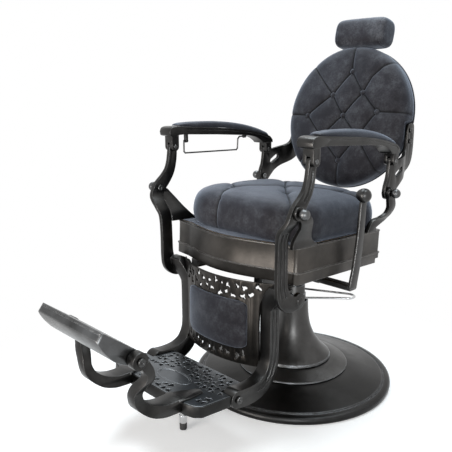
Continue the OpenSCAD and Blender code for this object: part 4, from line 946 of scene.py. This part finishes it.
# %% [markdown]
# The board behind it is covered in the same leather. A welt, a thin cord sewn into the
# seam, hides where the two covers meet.

# %% Back board and welt
BOARD_RIM = [(0.0, 1.0, 0.0565), (0.25, 1.003, 0.060), (0.5, 0.998, 0.066), (0.75, 0.975, 0.0705),
             (1.0, 0.94, 0.0725), (1.5, 0.6, 0.0735), (2.0, 0.02, 0.074)]
scale, depth = curve_through(BOARD_RIM, spread((0, 1, 14), (1.1, 2, 8)))
scale = np.concatenate([[0.02, 0.5, 0.9], scale * 0.985])
depth = np.concatenate([[0.0565] * 3, depth])
rear = stacked(circle[:, 0] * scale[:, None], depth[:, None], circle[:, 1] * scale[:, None])
rear_cover = loft("back_board.cover", let_in(leaned(rear)), hide)
stand_in(rear_cover, "back_shell")


def cord_ring(name, centres, radius, material, sides=10):
    """A closed tube along a loop of points."""
    ahead = np.roll(centres, -1, 0) - np.roll(centres, 1, 0)
    ahead /= np.linalg.norm(ahead, axis=1)[:, None]
    normal = np.linalg.svd(centres - centres.mean(0))[2][2]
    side = np.cross(ahead, normal)
    c, s = unit_circle(sides).T[..., None]
    tube = centres[:, None] + radius * (c * side[:, None] + s * normal)
    return smooth_piece(name, tube.reshape(-1, 3), bands(len(centres), len(centres), sides),
                        material)


rim = stacked(circle[:, 0] * 0.992, 0.0562, circle[:, 1] * 0.992)
welt = cord_ring("back_welt", let_in(leaned(rim)), 0.0026, hide)
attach(welt, "back")
print("welt faces:", len(welt.data.polygons))

# %% [markdown]
# ## Headrest
# The headrest is a small bolster: a block whose faces all swell, with a seam round each end
# panel. A superellipse in section gives its soft square shape, and one curve gives both the
# size of the section and its place along the block, so the ends can close square.

# %% Headrest
HEAD_MIDDLE = np.array([0.0, 0.044, 0.290])
HEAD_SIZE = np.array([0.196, 0.088, 0.0965])
# share of the half length and size of the section there, from the middle to an end
HEAD_END = [(0.0, 0.0, 1.02), (0.5, 0.5, 1.015), (0.7, 0.72, 1.0), (0.8, 0.82, 0.978),
            (0.86, 0.876, 0.945), (0.92, 0.926, 0.89), (0.98, 0.966, 0.80), (1.04, 0.988, 0.68),
            (1.1, 0.998, 0.5), (1.2, 1.003, 0.25), (1.3, 1.005, 0.02)]
HEAD_SEAM = 0.83                      # place of the seams that join the end panels

run = spread((0, 0.76, 40), (0.765, 1.3, 90))
share, swell = curve_through(HEAD_END, run)
swell = swell - 0.035 * np.exp(-(np.abs(run - HEAD_SEAM) / 0.010) ** 1.5)
share = np.concatenate([-share[:0:-1], share])
swell = np.concatenate([swell[:0:-1], swell])
c, s = unit_circle(180).T
section = (np.abs(c) ** 3.2 + np.abs(s) ** 3.2) ** (-1 / 3.2)
head = stacked((HEAD_SIZE[0] / 2 * share)[:, None],
               swell[:, None] * (section * s) * HEAD_SIZE[1] / 2,
               swell[:, None] * (section * c) * HEAD_SIZE[2] / 2) + HEAD_MIDDLE
# the headrest takes the lighter copy of the leather: painted light
cover("head_cushion", leaned(head), material=hide_painted_light)

# %% [markdown]
# ## Arm pads
# The arm pads are thin stuffed strips nailed along the top of each armrest, so their lofts
# are made across the arm at stations along it.

# %% Arm pads
ARM_TOP = [(-0.318, 0.834), (-0.311, 0.846), (-0.288, 0.850), (-0.240, 0.847), (-0.180, 0.843),
           (-0.100, 0.838), (-0.020, 0.830), (0.050, 0.819), (0.104, 0.807), (0.132, 0.799),
           (0.147, 0.786)]
ARM_PLAN = [(-0.330, 0.274, 0.050), (-0.290, 0.274, 0.050), (-0.200, 0.271, 0.048),
            (-0.060, 0.266, 0.047), (0.060, 0.2595, 0.045), (0.130, 0.2555, 0.042),
            (0.190, 0.2555, 0.041)]
PAD_SPAN, PAD_HIGH = (-0.276, 0.134), 0.0205

share = 0.5 - 0.5 * np.cos(np.linspace(0, math.pi, 90))
y = PAD_SPAN[0] + (PAD_SPAN[1] - PAD_SPAN[0]) * share
top = curve_through(ARM_TOP, y)[0]
middle, wide = curve_through(ARM_PLAN, y)
end_round = np.maximum(np.sin(math.pi * np.clip(share, 0.003, 0.997)), 0) ** 0.34
half = np.linspace(0, math.pi, 40)
across = softened(np.cos(half), 0.62)
rise = np.maximum(np.sin(half), 0) ** 0.5
for side, body in ((1, "l"), (-1, "r")):
    width = (wide - 0.002) / 2 * (0.6 + 0.4 * end_round)
    pad = stacked(side * (middle[:, None] + width[:, None] * across), y[:, None],
                  top[:, None] + 0.0005 + PAD_HIGH * end_round[:, None] * rise)
    cover("arm_pad_" + body, pad)

# %% [markdown]
# ## Prop foot
# The prop under the footplate ends in a steel sleeve with a rubber tip. Both are turned: a
# profile of (share of the radius, share of the height) pairs gives the rings of a loft, and
# the box of the CAD node gives their size and place.

# %% Prop foot
low, high = (np.array(corner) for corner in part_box("prop_foot"))
foot_middle, foot_radius = (low + high)[:2] / 2, (high - low)[0] / 2
SLEEVE = [(0.02, 0.47), (0.90, 0.47), (0.95, 0.50), (0.99, 0.97), (0.95, 1.0), (0.02, 1.0)]
TIP = [(0.02, 0.0), (0.84, 0.0), (0.89, 0.04), (0.91, 0.46), (0.86, 0.49), (0.02, 0.49)]
for part, profile, finish in (("sleeve", SLEEVE, chrome), ("tip", TIP, rubber)):
    rings = [stacked(*(foot_middle + foot_radius * share * unit_circle(32)).T,
                     low[2] + (high - low)[2] * rise) for share, rise in profile]
    turned = loft("prop_foot." + part, rings, finish)
    shade_by_angle(turned.data)
    stand_in(turned, "prop_foot")
print("prop foot radius:", round(float(foot_radius), 4))

# %% [markdown]
# ## Legrest pad
# The legrest pad is a flat upholstered panel, bent to the bow of the casting behind it. Its
# edge is soft on all four sides, and its middle stands out a little more.

# %% Legrest pad
PANEL_BOW, PANEL_HALF, PANEL_FRONT = 0.035, 0.150, -0.374
PANEL_RADIUS = (PANEL_HALF ** 2 + PANEL_BOW ** 2) / (2 * PANEL_BOW)
LEG_PAD, LEG_PAD_Z, LEG_PAD_DEEP = (0.236, 0.143), 0.316, 0.013

share = -np.cos(np.linspace(0, math.pi, 90))
end_round = (1 - np.abs(share) ** 9 + 1e-4) ** 0.4
x = LEG_PAD[0] / 2 * share
tall = LEG_PAD[1] / 2 * (0.7 + 0.3 * end_round)
half = np.linspace(0, math.pi, 60)
v = tall[:, None] * softened(np.cos(half), 0.45)
crown = 1 + 0.25 * (1 - (v / tall[:, None]) ** 2) * (1 - share ** 2)[:, None]
out = 0.0004 + LEG_PAD_DEEP * (0.1 + 0.9 * end_round)[:, None] \
    * np.maximum(np.sin(half), 0) ** 0.4 * crown
bow = PANEL_FRONT + PANEL_RADIUS - np.sqrt((PANEL_RADIUS + out) ** 2 - (x ** 2)[:, None])
cover("legrest_pad", stacked(x[:, None], bow, LEG_PAD_Z + v))

# %% [markdown]
# ## Buttons
# Each button is a leather-covered dome pulled into its well. They repeat, so Geometry Nodes
# make them: a flattened sphere is instanced on a few points, each turned to the direction
# stored with its point, and the instances are made real at the end.

# %% Button tree
domes, g_in, g_out = new_group(
    "covered buttons", [("Geometry", "NodeSocketGeometry", None), ("Radius", FLOAT, 0.008),
                        ("Flatness", FLOAT, 0.6), ("Leather", "NodeSocketMaterial", None)],
    [("Geometry", "NodeSocketGeometry")], "GeometryNodeTree")
ball = add(domes, "GeometryNodeMeshUVSphere", {"Segments": 24, "Rings": 14,
                                               "Radius": g_in.outputs["Radius"]})
squash = add(domes, "ShaderNodeCombineXYZ", {"X": 1.0, "Y": 1.0, "Z": g_in.outputs["Flatness"]})
dome = add(domes, "GeometryNodeTransform", {"Geometry": ball, "Scale": squash})
facing = add(domes, "GeometryNodeInputNamedAttribute", {"Name": "facing"},
             data_type="FLOAT_VECTOR")
aim = add(domes, "FunctionNodeAlignRotationToVector", {"Vector": facing}, axis="Z")
place = add(domes, "GeometryNodeInstanceOnPoints", {"Points": g_in.outputs["Geometry"],
                                                    "Instance": dome, "Rotation": aim})
real = add(domes, "GeometryNodeRealizeInstances", {"Geometry": place})
smooth = add(domes, "GeometryNodeSetShadeSmooth", {"Geometry": real})
paint = add(domes, "GeometryNodeSetMaterial", {"Geometry": smooth,
                                               "Material": g_in.outputs["Leather"]})
join(domes, g_out, {0: paint})
print("nodes in the tree:", len(domes.nodes))

# %% Buttons on the seat and back
def on_points(name, places, facing, body, **values):
    """Runs the buttons' tree on points that share a direction, as one plain leather piece."""
    mesh = bpy.data.meshes.new(name)
    mesh.from_pydata([tuple(p) for p in places], [], [])
    stored = mesh.attributes.new("facing", "FLOAT_VECTOR", "POINT")
    stored.data.foreach_set("vector", np.tile(np.asarray(facing, float), len(places)))
    piece = placed(name, mesh)
    repeat = piece.modifiers.new("repeat", "NODES")
    repeat.node_group = domes
    for item in domes.interface.items_tree:
        if item.in_out == "INPUT" and item.name in values:
            repeat[item.identifier] = values[item.name]
    apply_modifiers(piece)
    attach(piece, body)
    print(name, "faces:", len(piece.data.polygons))


def level_at(rim, far):
    """Level of a cushion's rim curve at one place."""
    return curve_through(rim, np.array([far]))[1][0]


IN_SEAT, IN_BACK = 0.019, 0.0085      # how deep the buttons sit below the untufted face
back_spots = leaned(np.array([
    (x, level_at(BACK_RIM, math.hypot(x / BACK_HALF[0], z / BACK_HALF[1])) + IN_BACK, z)
    for x, z in BACK_BUTTONS]))
seat_spots = raked(np.array([
    (*spot, SEAT_FOOT - IN_SEAT
     + level_at(SEAT_RIM, abs((np.array(spot) - SEAT_MIDDLE) / SEAT_HALF).max()))
    for spot in SEAT_BUTTONS]))
on_points("back_buttons", back_spots, tipped(np.array([0.0, -1.0, 0.0]), LEAN), "back",
          Radius=0.0088, Flatness=0.62, Leather=hide)
on_points("seat_buttons", seat_spots, (0, 0, 1), "seat", Radius=0.009, Flatness=0.6, Leather=hide)
